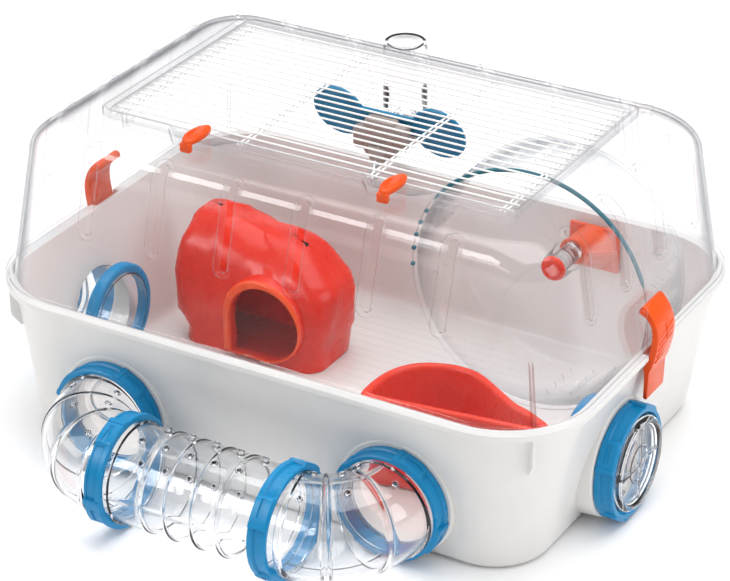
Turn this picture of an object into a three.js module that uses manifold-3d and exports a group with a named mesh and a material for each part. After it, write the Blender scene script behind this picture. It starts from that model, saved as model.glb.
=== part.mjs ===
// Small modular hamster cage: an opaque tray, a clear lid with a wire grille door in its roof,
// a tube run on the front wall, two capped side ports, a running wheel, a house, a bowl and a bottle.
// Millimetres. X to the right, Y to the back, Z up. The origin is the middle of the tray's underside.
import * as THREE from "three";
import { mergeVertices } from "three/addons/utils/BufferGeometryUtils.js";
import Module from "manifold-3d";

const wasm = await Module();
wasm.setup();

// ---------------------------------------------------------------- driving dimensions
const GAP = 0.3; // running gap between neighbouring pieces

const RIM_X = 202.5; // half length over the rim
const RIM_Y = 145; // half depth over the rim
const RIM_R = 58; // plan radius of the rim's corners
const TRAY_H = 101.5; // tray height, top of its rim
const TRAY_WALL = 3;
const FOOT_X = 179; // half length of the tray at its underside
const FOOT_Y = 130;
const FOOT_R = 36;
const FLANGE = 5; // how far the rims stand out from the walls
const FLANGE_T = 4.2; // thickness of the tray's rim

const LID_Z0 = TRAY_H + GAP; // underside of the lid's flange
const LID_FLANGE_T = 2.6;
const LID_T = 2.2; // lid wall thickness
const LID_FOOT_INSET = 5; // from the rim's outline to the foot of the lid's walls
const LEAN_X = 0.156; // inward lean of the end walls, mm per mm of height
const LEAN_Y = 0.29; // inward lean of the front and back walls
const CORNER_SHRINK = 0.3; // loss of plan radius per mm of height
const SHOULDER_Z = 184; // where the walls start to round over into the roof
const ROOF_Z = 205; // outer face of the roof
const ROOF_INSET = 44; // from the rim's outline to the flat of the roof

const SLOT_R = 3.2; // half width of a vent slot
const SLOT_LOW = 150;
const SLOT_HIGH = 202;
const FRONT_SLOTS = [-122.5, -73.5, -24.5, 24.5, 73.5, 122.5];
const SIDE_SLOTS = [-70, -23, 23, 70];

const DOOR_X = 145; // half length of the door frame
const DOOR_Y0 = -78; // front edge of the door frame
const DOOR_Y1 = 90; // back edge of the door frame
const DOOR_Z0 = ROOF_Z + GAP;
const DOOR_T = 5;
const DOOR_BAR = 8; // width of the frame's bars
const HINGE = { y: 89, z: 208.5, pegR: 1.5, boreR: 1.9, lugX: 6 };
const LATCH_X = 67.8; // distance of each door latch from the middle
const LATCH_PAD = { halfX: 26, y0: -90 }; // the frame's forward bulge under a latch

const WIRE = 1.5; // side of a grille wire
const GRILLE_X = 139.6;
const GRILLE_Y0 = -72.6;
const GRILLE_Y1 = 84.6;
const LONG_WIRES = 21;
const CROSS_WIRES = [-133, -45, 45, 133];

const PORT_Z = 37; // height of every port's axis
const PORT_R = 28.5; // port bore
const BOSS_R = 38; // flat pad round each port
const FRONT_PORT_X = 100;
const FRONT_BOSS_Y = -138; // outer face of the front pads
const SIDE_PORT_Y = -31;
const SIDE_BOSS_X = 194; // outer face of the side pads

const TUBE_R = 31; // outside of the tubes
const TUBE_T = 2;
const BEND_R = 40; // centre line radius of an elbow
const BEND_START_Y = -149.5;
const RUN_Y = BEND_START_Y - BEND_R; // axis of the straight tube
const RUN_END_X = 57; // joint between an elbow and the straight tube
const RING_R = 36; // outside of a lock ring
const RING_W = 12; // width of a lock ring
const RING_CLEAR = 1.1; // radial room between a tube and its ring
const CAP_DEPTH = 15; // how far a port cap stands out

const WHEEL = { x: 96, z: 93, r: 82.2, y0: 41, y1: 96, wall: 2.2 };
const AXLE_R = 6.1;
const BRACKET = {
  socketY: 99, // front of the cone, where the axle goes in
  socketEndY: 112,
  footY: 132.8,
  plateY: 133.5, // face against the back wall
  plateHalfX: 18,
  plateZ0: 66,
  plateZ1: 97,
  drop: 12, // how far the cone's foot lies below the axle
  headR: 9.2,
  footR: 16,
};
const SLEEVE_R = 9.5;

const CLIP = { x: 197.2, z: 129, halfY: 12, peg: 1.6, pegOut: 1.7, bore: 2.0 };
const CHEEK_GAP = 0.5;
const CHEEK_T = 2.6;
const NOTCH_X = 197.8; // depth to which both rims are notched for a side clip

const HOUSE = { x: -99, y: 36, z0: 3.4, z1: 92, wall: 2.6, floor: 1.6 };
const DOORWAY = { x: -82, z: 34, r: 26, backY: 26 }; // round but for its lower left corner
const HOOD = { out: 3.5, y0: 5, y1: 14 }; // the raised band round the doorway
const BOWL = { x: 104, y: -76, z0: 3.4, z1: 66, turn: 7.8, wall: 3 };
const BOTTLE = { x: -55, y: 147.5, z0: 132, z1: 190, r: 15 };
const NOZZLE = { z: 124, armR: 5.5, cupR: 8.8, blockY0: 110, blockY1: 121.5 };
const SPOUT = { tip: [BOTTLE.x, 103.5, 105.5], lean: 0.46, r: 3.4, length: 24, neck: 13 };
const HOLDER = { z: 140, discX: 38, discR: 20, thick: 3 };

// ---------------------------------------------------------------- materials
const plastic = (color, roughness = 0.35) =>
  new THREE.MeshStandardMaterial({ color, roughness, metalness: 0 });
const clear = (color = 0xe9edf3) =>
  new THREE.MeshStandardMaterial({ color, roughness: 0.08, transparent: true, opacity: 0.35 });
const steel = () => new THREE.MeshStandardMaterial({ color: 0xc9ccd0, roughness: 0.25, metalness: 1 });

const WHITE = 0xe6e4e0;
const ORANGE = 0xff6a1f;
const RED_ORANGE = 0xe8401a;
const BLUE = 0x1488c8;
const TEAL = 0x2a6a78;
const GREY = 0x8d8480;

// ---------------------------------------------------------------- solids
// A three.js geometry as a manifold solid.
function solid(geometry) {
  const bare = geometry.index ? geometry.toNonIndexed() : geometry.clone();
  for (const name of Object.keys(bare.attributes)) {
    if (name !== "position") bare.deleteAttribute(name);
  }
  const merged = mergeVertices(bare, 1e-4);
  return new wasm.Manifold(
    new wasm.Mesh({
      numProp: 3,
      vertProperties: merged.attributes.position.array,
      triVerts: new Uint32Array(merged.index.array),
    }),
  );
}

// A manifold solid as a three.js geometry.
function geometryOf(body) {
  const mesh = body.getMesh();
  const geometry = new THREE.BufferGeometry();
  geometry.setAttribute("position", new THREE.BufferAttribute(mesh.vertProperties, 3));
  geometry.setIndex(new THREE.BufferAttribute(mesh.triVerts, 1));
  return geometry;
}

function part(name, body, material) {
  const mesh = new THREE.Mesh(geometryOf(body), material);
  mesh.name = name;
  return mesh;
}

function ball(centre, radius, sides = 12) {
  const geometry = new THREE.SphereGeometry(radius, sides, sides / 2);
  geometry.translate(...centre);
  return solid(geometry);
}

const join = (bodies) => bodies.reduce((sum, body) => sum.add(body));
const cut = (body, tools) => tools.reduce((rest, tool) => rest.subtract(tool), body);

// A box between two opposite corners.
function box(low, high) {
  const size = high.map((value, axis) => value - low[axis]);
  const geometry = new THREE.BoxGeometry(...size);
  geometry.translate(...low.map((value, axis) => value + size[axis] / 2));
  return solid(geometry);
}

// The turn that takes the Y axis to a direction.
const turnFromY = (direction) =>
  new THREE.Matrix4().makeRotationFromQuaternion(
    new THREE.Quaternion().setFromUnitVectors(new THREE.Vector3(0, 1, 0), direction),
  );

// A round rod, or a cone frustum, from one point to another.
function rod(from, to, radius, sides = 16, endRadius = radius) {
  const start = new THREE.Vector3(...from);
  const span = new THREE.Vector3(...to).sub(start);
  const geometry = new THREE.CylinderGeometry(endRadius, radius, span.length(), sides);
  geometry.translate(0, span.length() / 2, 0);
  geometry.applyMatrix4(turnFromY(span.normalize()));
  geometry.translate(...start.toArray());
  return solid(geometry);
}

// A closed profile of [radius, height] points turned about an axis that starts at a point.
function turned(profile, from, direction, sides = 24) {
  const points = profile.map(([radius, height]) => new THREE.Vector2(radius, height));
  const geometry = new THREE.LatheGeometry(points, sides);
  geometry.applyMatrix4(turnFromY(new THREE.Vector3(...direction)));
  geometry.translate(...from);
  const body = solid(geometry);
  return body.volume() < 0 ? solid(flipped(geometry)) : body;
}

// The same geometry with its faces turned the other way.
function flipped(geometry) {
  const copy = geometry.clone();
  const index = copy.index.array;
  for (let i = 0; i < index.length; i += 3) {
    [index[i + 1], index[i + 2]] = [index[i + 2], index[i + 1]];
  }
  return copy;
}

// A ring of rectangular section about an axis.
const hoop = (inner, outer, width, from, direction, sides = 24) =>
  turned(
    [
      [inner, 0],
      [outer, 0],
      [outer, width],
      [inner, width],
      [inner, 0],
    ],
    from,
    direction,
    sides,
  );

// A rounded rectangle as a loop of points at one height.
function roundedLoop(halfX, halfY, radius, z, centre = [0, 0], steps = 6) {
  const loop = [];
  const quarter = Math.PI / 2;
  const corners = [
    [1, 1],
    [-1, 1],
    [-1, -1],
    [1, -1],
  ];
  corners.forEach(([signX, signY], corner) => {
    for (let i = 0; i <= steps; i += 1) {
      const angle = (corner + i / steps) * quarter;
      loop.push(
        new THREE.Vector3(
          centre[0] + signX * (halfX - radius) + radius * Math.cos(angle),
          centre[1] + signY * (halfY - radius) + radius * Math.sin(angle),
          z,
        ),
      );
    }
  });
  return loop;
}

// A solid through a stack of loops, lowest first, with flat ends.
function loft(loops) {
  const count = loops[0].length;
  const positions = loops.flat().flatMap((point) => point.toArray());
  const index = [];
  for (let level = 0; level + 1 < loops.length; level += 1) {
    for (let i = 0; i < count; i += 1) {
      const a = level * count + i;
      const b = level * count + ((i + 1) % count);
      index.push(a, b, b + count, a, b + count, a + count);
    }
  }
  const top = (loops.length - 1) * count;
  for (let i = 1; i + 1 < count; i += 1) {
    index.push(0, i + 1, i);
    index.push(top, top + i, top + i + 1);
  }
  const geometry = new THREE.BufferGeometry();
  geometry.setAttribute("position", new THREE.Float32BufferAttribute(positions, 3));
  geometry.setIndex(index);
  return solid(geometry);
}

// A flat outline pushed along Y, its shape drawn in X and Z.
function slabAlongY(shape, y0, y1, curveSteps = 2) {
  const geometry = new THREE.ExtrudeGeometry(shape, {
    depth: y1 - y0,
    bevelEnabled: false,
    curveSegments: curveSteps,
  });
  geometry.rotateX(Math.PI / 2);
  geometry.translate(0, y1, 0);
  return solid(geometry);
}

// An upright slot with round ends, centred on x = 0, between two heights.
function slotShape(radius, low, high) {
  const shape = new THREE.Shape();
  shape.absarc(0, high - radius, radius, 0, Math.PI, false);
  shape.absarc(0, low + radius, radius, Math.PI, 2 * Math.PI, false);
  shape.closePath();
  return shape;
}

// ---------------------------------------------------------------- tray
const trayLean = (z) => z / (TRAY_H - FLANGE_T);

function trayLoop(z, inset, radiusLess = inset) {
  const t = trayLean(z);
  const halfX = FOOT_X + (RIM_X - FLANGE - FOOT_X) * t;
  const halfY = FOOT_Y + (RIM_Y - FLANGE - FOOT_Y) * t;
  const radius = FOOT_R + (RIM_R - FLANGE - FOOT_R) * t;
  return roundedLoop(halfX - inset, halfY - inset, radius - radiusLess, z);
}

const clipNotches = (z0, z1) =>
  [-1, 1].map((side) => {
    const xs = [side * NOTCH_X, side * (RIM_X + 2)].sort((a, b) => a - b);
    const halfY = CLIP.halfY + 1;
    return box([xs[0], -halfY, z0], [xs[1], halfY, z1]);
  });

// Thin upright fins at the four corners, drawn as [reach, height] points from the corner's centre.
function cornerFins(outline) {
  const shape = new THREE.Shape(outline.map(([reach, z]) => new THREE.Vector2(reach, z)));
  const fins = [];
  for (const signX of [-1, 1]) {
    for (const signY of [-1, 1]) {
      const turn = THREE.MathUtils.radToDeg(Math.atan2(signY, signX));
      fins.push(
        slabAlongY(shape, -1, 1)
          .rotate([0, 0, turn])
          .translate([signX * (RIM_X - RIM_R), signY * (RIM_Y - RIM_R), 0]),
      );
    }
  }
  return fins;
}

function trayBody() {
  const outer = loft([
    trayLoop(0, 4),
    trayLoop(1.6, 1.2),
    trayLoop(5, 0),
    trayLoop(TRAY_H - FLANGE_T, 0),
    roundedLoop(RIM_X, RIM_Y, RIM_R, TRAY_H - FLANGE_T + 0.01),
    roundedLoop(RIM_X, RIM_Y, RIM_R, TRAY_H),
  ]);
  const cavity = loft([
    trayLoop(TRAY_WALL, TRAY_WALL + 2),
    trayLoop(TRAY_WALL + 3, TRAY_WALL),
    trayLoop(TRAY_H + 1, TRAY_WALL),
  ]);
  const pads = [-FRONT_PORT_X, FRONT_PORT_X].map((x) =>
    rod([x, -125, PORT_Z + 1], [x, FRONT_BOSS_Y, PORT_Z + 1], BOSS_R, 32),
  );
  const sidePads = [-1, 1].map((side) =>
    rod([side * 170, SIDE_PORT_Y, PORT_Z + 1], [side * SIDE_BOSS_X, SIDE_PORT_Y, PORT_Z + 1], BOSS_R, 32),
  );
  const frontBores = [-FRONT_PORT_X, FRONT_PORT_X].map((x) =>
    rod([x, -110, PORT_Z], [x, -160, PORT_Z], PORT_R, 32),
  );
  const sideBores = [-1, 1].map((side) =>
    rod([side * 160, SIDE_PORT_Y, PORT_Z], [side * 210, SIDE_PORT_Y, PORT_Z], PORT_R, 32),
  );
  const fins = cornerFins([
    [40, 70],
    [50, 70],
    [56.5, 78],
    [57, TRAY_H - FLANGE_T + 1],
    [40, TRAY_H - FLANGE_T + 1],
  ]);
  const shell = cut(join([outer, ...pads, ...sidePads, ...fins]), [
    cavity,
    ...frontBores,
    ...sideBores,
    ...clipNotches(TRAY_H - FLANGE_T - 1, TRAY_H + 1),
  ]);
  const belowFloor = box([-250, -250, -10], [250, 250, 0]);
  return shell.subtract(belowFloor);
}

// ---------------------------------------------------------------- lid
const LID_FOOT_Z = LID_Z0 + LID_FLANGE_T;
const insetY = (z) => LID_FOOT_INSET + LEAN_Y * (z - LID_FOOT_Z);
const insetX = (z) => LID_FOOT_INSET + LEAN_X * (z - LID_FOOT_Z);
const cornerR = (z) => RIM_R - 4 - CORNER_SHRINK * (z - LID_FOOT_Z);

// The lid's outline at a height, moved in by a thickness.
function lidLoop(z, thickness = 0) {
  const wallZ = Math.min(z, SHOULDER_Z);
  const turn = Math.max(0, (z - SHOULDER_Z) / (ROOF_Z - SHOULDER_Z));
  const round = 1 - Math.sqrt(1 - turn * turn);
  const alongX = insetX(wallZ) + (ROOF_INSET - insetX(wallZ)) * round + thickness;
  const alongY = insetY(wallZ) + (ROOF_INSET - insetY(wallZ)) * round + thickness;
  const radius = cornerR(wallZ) - thickness - 6 * round;
  return roundedLoop(RIM_X - alongX, RIM_Y - alongY, radius, z - (turn > 0 ? thickness : 0));
}

// The lid's outline from the foot of its walls to its roof.
function lidStack(thickness) {
  const heights = [150, SHOULDER_Z];
  const steps = 5;
  for (let i = 1; i <= steps; i += 1) {
    const angle = ((i / steps) * Math.PI) / 2;
    heights.push(SHOULDER_Z + (ROOF_Z - SHOULDER_Z) * Math.sin(angle));
  }
  return heights.map((z) => lidLoop(z, thickness));
}

function hingeLugs() {
  return [-1, 1].map((side) => {
    const xs = [side * (DOOR_X + 0.5), side * (DOOR_X + 0.5 + HINGE.lugX)].sort((a, b) => a - b);
    return box([xs[0], HINGE.y - 4, ROOF_Z - 1], [xs[1], HINGE.y + 4, HINGE.z + 3.8]);
  });
}

// Two cheeks at each end of the lid that hold a side clip between them.
function clipCheeks() {
  const cheeks = [];
  for (const side of [-1, 1]) {
    for (const end of [-1, 1]) {
      const ys = [CLIP.halfY + CHEEK_GAP, CLIP.halfY + CHEEK_GAP + CHEEK_T].map((y) => end * y);
      ys.sort((a, b) => a - b);
      const shape = new THREE.Shape();
      shape.moveTo(side * 191, 134);
      shape.lineTo(side * 196, 135.5);
      shape.lineTo(side * 200.5, 132);
      shape.lineTo(side * 201, 112);
      shape.lineTo(side * 201, 103.5);
      shape.lineTo(side * 196.5, 103.5);
      shape.closePath();
      cheeks.push(slabAlongY(shape, ys[0], ys[1]));
    }
  }
  return cheeks;
}

function lidBody() {
  const outer = loft([
    roundedLoop(RIM_X, RIM_Y, RIM_R, LID_Z0),
    roundedLoop(RIM_X, RIM_Y, RIM_R, LID_FOOT_Z),
    lidLoop(LID_FOOT_Z + 0.01),
    ...lidStack(0),
  ]);
  const inner = loft([lidLoop(LID_Z0 - 1, LID_T), ...lidStack(LID_T)]);
  const roofOpening = box([-134, -67, ROOF_Z - 10], [134, 79, ROOF_Z + 10]);
  const frontSlots = FRONT_SLOTS.map((x) =>
    slabAlongY(slotShape(SLOT_R, SLOT_LOW, SLOT_HIGH), -160, 160).translate([x, 0, 0]),
  );
  const sideSlots = SIDE_SLOTS.map((y) =>
    slabAlongY(slotShape(SLOT_R, SLOT_LOW, SLOT_HIGH), -220, 220)
      .rotate([0, 0, 90])
      .translate([0, y, 0]),
  );
  const fins = cornerFins([
    [36, LID_Z0 + 1],
    [57.5, LID_Z0 + 1],
    [57, 112],
    [49.5, 141],
    [46.5, 143],
    [36, 143],
  ]);
  const knob = rod([0, -RIM_Y + 4.5, LID_Z0 + 1], [0, -RIM_Y + 4.5, LID_Z0 + 6], 4, 12);
  const shell = join([outer, ...fins]).subtract(inner);
  const dressed = join([shell, knob, ...hingeLugs(), ...clipCheeks()]);
  const hingeBore = rod([-160, HINGE.y, HINGE.z], [160, HINGE.y, HINGE.z], HINGE.boreR, 12);
  const pegBores = [-1, 1].map((side) =>
    rod([side * CLIP.x, -20, CLIP.z], [side * CLIP.x, 20, CLIP.z], CLIP.bore, 12),
  );
  const nozzleHole = rod([BOTTLE.x, 110, NOZZLE.z], [BOTTLE.x, 160, NOZZLE.z], NOZZLE.armR + 1, 12);
  return cut(dressed, [
    roofOpening,
    ...frontSlots,
    ...sideSlots,
    ...clipNotches(LID_Z0 - 1, LID_FOOT_Z + 1),
    hingeBore,
    ...pegBores,
    nozzleHole,
  ]);
}

// ---------------------------------------------------------------- roof door
function doorFrameBody() {
  const plate = box([-DOOR_X, DOOR_Y0, DOOR_Z0], [DOOR_X, DOOR_Y1, DOOR_Z0 + DOOR_T]);
  const pads = [-LATCH_X, LATCH_X].map((x) => {
    const shape = new THREE.Shape();
    shape.moveTo(x - LATCH_PAD.halfX, DOOR_Y0 + 1);
    shape.quadraticCurveTo(x - LATCH_PAD.halfX + 8, LATCH_PAD.y0, x - 12, LATCH_PAD.y0);
    shape.lineTo(x + 12, LATCH_PAD.y0);
    shape.quadraticCurveTo(x + LATCH_PAD.halfX - 8, LATCH_PAD.y0, x + LATCH_PAD.halfX, DOOR_Y0 + 1);
    shape.closePath();
    const settings = { depth: DOOR_T, bevelEnabled: false, curveSegments: 4 };
    const geometry = new THREE.ExtrudeGeometry(shape, settings);
    geometry.translate(0, 0, DOOR_Z0);
    return solid(geometry);
  });
  const pegs = rod(
    [-DOOR_X - HINGE.lugX, HINGE.y, HINGE.z],
    [DOOR_X + HINGE.lugX, HINGE.y, HINGE.z],
    HINGE.pegR,
    10,
  );
  const window = box(
    [-DOOR_X + DOOR_BAR, DOOR_Y0 + DOOR_BAR, DOOR_Z0 - 1],
    [DOOR_X - DOOR_BAR, DOOR_Y1 - DOOR_BAR, DOOR_Z0 + DOOR_T + 1],
  );
  const rabbet = box(
    [-GRILLE_X - GAP, GRILLE_Y0 - GAP, DOOR_Z0 - 1],
    [GRILLE_X + GAP, GRILLE_Y1 + GAP, DOOR_Z0 + 2 * WIRE + 0.3],
  );
  return cut(join([plate, ...pads, pegs]), [window, rabbet]);
}

function grilleBody() {
  const z0 = DOOR_Z0 + 0.2;
  const wires = CROSS_WIRES.map((x) =>
    box([x - WIRE, GRILLE_Y0, z0], [x + WIRE, GRILLE_Y1, z0 + WIRE]),
  );
  const pitch = (GRILLE_Y1 - GRILLE_Y0 - 2 * WIRE) / (LONG_WIRES - 1);
  for (let i = 0; i < LONG_WIRES; i += 1) {
    const y = GRILLE_Y0 + WIRE + i * pitch;
    const low = z0 + WIRE - 0.2;
    wires.push(box([-GRILLE_X, y - WIRE / 2, low], [GRILLE_X, y + WIRE / 2, low + WIRE]));
  }
  return join(wires);
}

// A sliding latch: an oval finger piece with a nose that drops in front of the frame.
function latchBody(x) {
  const z0 = DOOR_Z0 + DOOR_T + GAP;
  const shape = new THREE.Shape();
  shape.absellipse(x, -84.5, 5.5, 13.5, 0, 2 * Math.PI, false, 0);
  const geometry = new THREE.ExtrudeGeometry(shape, { depth: 3.6, bevelEnabled: false, curveSegments: 10 });
  geometry.translate(0, 0, z0);
  const recess = box([x - 3, -90, z0 + 2], [x + 3, -78, z0 + 5]);
  const nose = box([x - 4, -98, ROOF_Z + 1], [x + 4, -94, z0 + 2]);
  return solid(geometry).subtract(recess).add(nose);
}

// ---------------------------------------------------------------- side clips
function clipBody(side) {
  const { x, z, halfY, peg, pegOut } = CLIP;
  const shape = new THREE.Shape();
  shape.absarc(x, z, 2.9, Math.PI / 2, Math.PI, false);
  shape.lineTo(x - 2.9, z - 1.5);
  shape.quadraticCurveTo(203.2, 124, 203.4, 114);
  shape.quadraticCurveTo(203.2, 103, 199.6, 93);
  shape.lineTo(198.4, 90.5);
  shape.lineTo(199.4, 86);
  shape.lineTo(199.2, 71);
  shape.lineTo(201.8, 70);
  shape.lineTo(202.4, 88);
  shape.quadraticCurveTo(207.6, 101, 207.4, 113.5);
  shape.quadraticCurveTo(206.5, 124, x + 1, z + 2.9);
  shape.closePath();
  const strap = slabAlongY(shape, -halfY, halfY, 4);
  const pegs = rod([x, -halfY - pegOut, z], [x, halfY + pegOut, z], peg, 10);
  const body = strap.add(pegs);
  return side > 0 ? body : body.rotate([0, 0, 180]);
}

// ---------------------------------------------------------------- tubes, rings and caps
// A pipe that follows a flat curve.
function pipe(curve, steps, sides = 10) {
  const ring = new THREE.Shape();
  ring.absarc(0, 0, TUBE_R, 0, 2 * Math.PI, false);
  const hole = new THREE.Path();
  hole.absarc(0, 0, TUBE_R - TUBE_T, 0, 2 * Math.PI, true);
  ring.holes.push(hole);
  return solid(
    new THREE.ExtrudeGeometry(ring, {
      steps,
      curveSegments: sides,
      bevelEnabled: false,
      extrudePath: curve,
    }),
  );
}

// The centre line of an elbow: out of the port, round the bend, along to the straight tube.
class ElbowLine extends THREE.Curve {
  constructor(side) {
    super();
    this.side = side;
    this.lead = FRONT_BOSS_Y - GAP - BEND_START_Y;
    this.bend = (BEND_R * Math.PI) / 2;
    this.tail = FRONT_PORT_X - BEND_R - RUN_END_X - GAP / 2;
  }

  getPoint(t, target = new THREE.Vector3()) {
    const distance = t * (this.lead + this.bend + this.tail);
    const inner = FRONT_PORT_X - BEND_R;
    if (distance <= this.lead) {
      return target.set(this.side * FRONT_PORT_X, FRONT_BOSS_Y - GAP - distance, PORT_Z);
    }
    if (distance <= this.lead + this.bend) {
      const angle = (distance - this.lead) / BEND_R;
      const x = inner + BEND_R * Math.cos(angle);
      return target.set(this.side * x, BEND_START_Y - BEND_R * Math.sin(angle), PORT_Z);
    }
    return target.set(this.side * (inner - (distance - this.lead - this.bend)), RUN_Y, PORT_Z);
  }
}

const elbowBody = (side) => pipe(new ElbowLine(side), 8);

const straightTubeBody = () =>
  hoop(
    TUBE_R - TUBE_T,
    TUBE_R,
    2 * RUN_END_X - GAP,
    [-RUN_END_X + GAP / 2, RUN_Y, PORT_Z],
    [1, 0, 0],
    28,
  );

// A bayonet ring with three raised lugs round its edge.
function ringBody(from, direction) {
  const band = turned(
    [
      [TUBE_R + RING_CLEAR, 0],
      [RING_R, 0],
      [RING_R, 4],
      [RING_R - 1.8, 6],
      [RING_R - 1.8, RING_W],
      [TUBE_R + RING_CLEAR, RING_W],
      [TUBE_R + RING_CLEAR, 0],
    ],
    from,
    direction,
    20,
  );
  const axis = new THREE.Vector3(...direction);
  const up = new THREE.Vector3(0, 0, 1);
  const across = new THREE.Vector3().crossVectors(axis, up);
  const lugs = [30, 90, 150].map((degrees) => {
    const angle = THREE.MathUtils.degToRad(degrees);
    const radial = up.clone().multiplyScalar(Math.sin(angle)).addScaledVector(across, Math.cos(angle));
    const geometry = new THREE.BoxGeometry(7, RING_W, 4);
    geometry.translate(0, RING_W / 2, 0);
    const tangent = new THREE.Vector3().crossVectors(axis, radial);
    const place = new THREE.Matrix4().makeBasis(tangent, axis, radial.clone());
    place.setPosition(new THREE.Vector3(...from).addScaledVector(radial, RING_R - 1));
    geometry.applyMatrix4(place);
    const lug = solid(geometry);
    return lug.volume() < 0 ? solid(flipped(geometry)) : lug;
  });
  return join([band, ...lugs]);
}

function capBody(side) {
  const wall = TUBE_R - TUBE_T;
  return turned(
    [
      [wall, 0],
      [TUBE_R, 0],
      [TUBE_R, CAP_DEPTH - 3],
      [TUBE_R - 2, CAP_DEPTH],
      [22, CAP_DEPTH],
      [20, CAP_DEPTH - 2],
      [0, CAP_DEPTH - 2],
      [0, CAP_DEPTH - 4],
      [wall, CAP_DEPTH - 4],
      [wall, 0],
    ],
    [side * (SIDE_BOSS_X + GAP), SIDE_PORT_Y, PORT_Z],
    [side, 0, 0],
    28,
  );
}

// ---------------------------------------------------------------- running wheel
const wheelAxis = (y) => [WHEEL.x, y, WHEEL.z];

const drumBody = () =>
  turned(
    [
      [AXLE_R + 0.4, WHEEL.y1],
      [WHEEL.r, WHEEL.y1],
      [WHEEL.r, WHEEL.y0],
      [WHEEL.r - WHEEL.wall, WHEEL.y0],
      [WHEEL.r - WHEEL.wall, WHEEL.y1 - WHEEL.wall],
      [SLEEVE_R, WHEEL.y1 - WHEEL.wall],
      [SLEEVE_R, 76],
      [AXLE_R + 0.4, 76],
      [AXLE_R + 0.4, WHEEL.y1],
    ],
    wheelAxis(0),
    [0, 1, 0],
    36,
  );

const frontRingBody = () => hoop(77.5, 84, 6, wheelAxis(WHEEL.y0 - GAP - 6), [0, 1, 0], 36);

const axleBody = () => rod(wheelAxis(73), wheelAxis(111.7), AXLE_R, 16);

const hubCapBody = () =>
  turned(
    [
      [0, 72.7],
      [8.5, 72.7],
      [8.2, 70.6],
      [5, 68.8],
      [0, 68.2],
    ],
    wheelAxis(0),
    [0, 1, 0],
    20,
  );

// The cone behind the wheel, which falls from the axle's height to its plate on the tray's wall.
function bracketBody() {
  const { socketY, socketEndY, footY, plateY, plateHalfX, plateZ0, plateZ1 } = BRACKET;
  const { drop, headR, footR } = BRACKET;
  const ringAt = (y, z, radius) =>
    roundedLoop(radius, radius, radius - 0.01, 0).map(
      (point) => new THREE.Vector3(WHEEL.x - point.x, y, z + point.y),
    );
  const cone = loft([ringAt(socketY, WHEEL.z, headR), ringAt(footY, WHEEL.z - drop, footR)]);
  const plate = box([WHEEL.x - plateHalfX, footY - 2, plateZ0], [WHEEL.x + plateHalfX, plateY, plateZ1]);
  const socket = rod(wheelAxis(socketY - 1), wheelAxis(socketEndY), AXLE_R + 0.4, 16);
  return cone.add(plate).subtract(socket);
}

// ---------------------------------------------------------------- house
// The rock-like outline of the house at six heights: [halfX, halfY, radius, z, shiftX, shiftY].
const HOUSE_LEVELS = [
  [53, 26, 13, HOUSE.z0, 1.5, 0],
  [58.5, 27.5, 14, 26, 0, 0],
  [62.5, 28, 15, 52, 0, 0.5],
  [60, 25.5, 13, 68, -1, 2],
  [54, 20, 11, 80, -4, 7],
  [34, 12, 8, HOUSE.z1, -17, 12],
];

function houseLoop([halfX, halfY, radius, z, shiftX, shiftY], inset, lower) {
  const centre = [HOUSE.x + shiftX, HOUSE.y + shiftY];
  return roundedLoop(halfX - inset, halfY - inset, radius - inset * 0.8, z - lower, centre, 2);
}

// An opening with round corners but for the lower left one, moved out by a distance.
function doorwayShape(out) {
  const { x, z, r } = DOORWAY;
  const radius = r + out;
  const shape = new THREE.Shape();
  shape.moveTo(x - radius, z - radius);
  shape.lineTo(x, z - radius);
  shape.absarc(x, z, radius, -Math.PI / 2, Math.PI, false);
  shape.closePath();
  return shape;
}

function houseBody() {
  const outer = loft(HOUSE_LEVELS.map((level) => houseLoop(level, 0, 0)));
  const lowered = [-HOUSE.floor, 0, 0, HOUSE.wall, HOUSE.wall, HOUSE.wall];
  const inner = loft(HOUSE_LEVELS.map((level, i) => houseLoop(level, HOUSE.wall, lowered[i])));
  const hood = slabAlongY(doorwayShape(HOOD.out), HOOD.y0, HOOD.y1, 8);
  const doorway = slabAlongY(doorwayShape(0), 0, DOORWAY.backY, 8);
  return join([outer, hood]).subtract(inner).subtract(doorway);
}

// ---------------------------------------------------------------- bowl
// The bowl's rim about the middle of its straight front, from the right end round the back.
const BOWL_RIM = [
  [54, -1],
  [60, 5],
  [50, 13],
  [41, 19],
  [31, 24],
  [19, 34],
  [0, 49],
  [-13, 53],
  [-26, 52.5],
  [-40, 47.5],
  [-50, 38],
  [-56, 25],
  [-59, 8],
  [-58.5, -1],
];

// The rim's outline at a height, moved in by a distance.
function bowlLoop(z, inset) {
  const outline = BOWL_RIM.map(([x, y]) => new THREE.Vector2(x, y));
  return outline.map((point, i) => {
    const before = outline[(i + outline.length - 1) % outline.length];
    const after = outline[(i + 1) % outline.length];
    const inward = new THREE.Vector2(before.y - after.y, after.x - before.x).normalize();
    return new THREE.Vector3(point.x + inward.x * inset, point.y + inward.y * inset, z);
  });
}

function bowlBody() {
  const { x, y, z0, z1, turn, wall } = BOWL;
  const outer = loft([bowlLoop(z0, 2.4), bowlLoop(z0 + 3, 0.8), bowlLoop(z1, 0)]);
  const inner = loft([
    bowlLoop(z0 + wall, 1.6 * wall),
    bowlLoop(z0 + 3 * wall, 1.2 * wall),
    bowlLoop(z1 + 1, wall),
  ]);
  return outer.subtract(inner).rotate([0, 0, turn]).translate([x, y, 0]);
}

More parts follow.
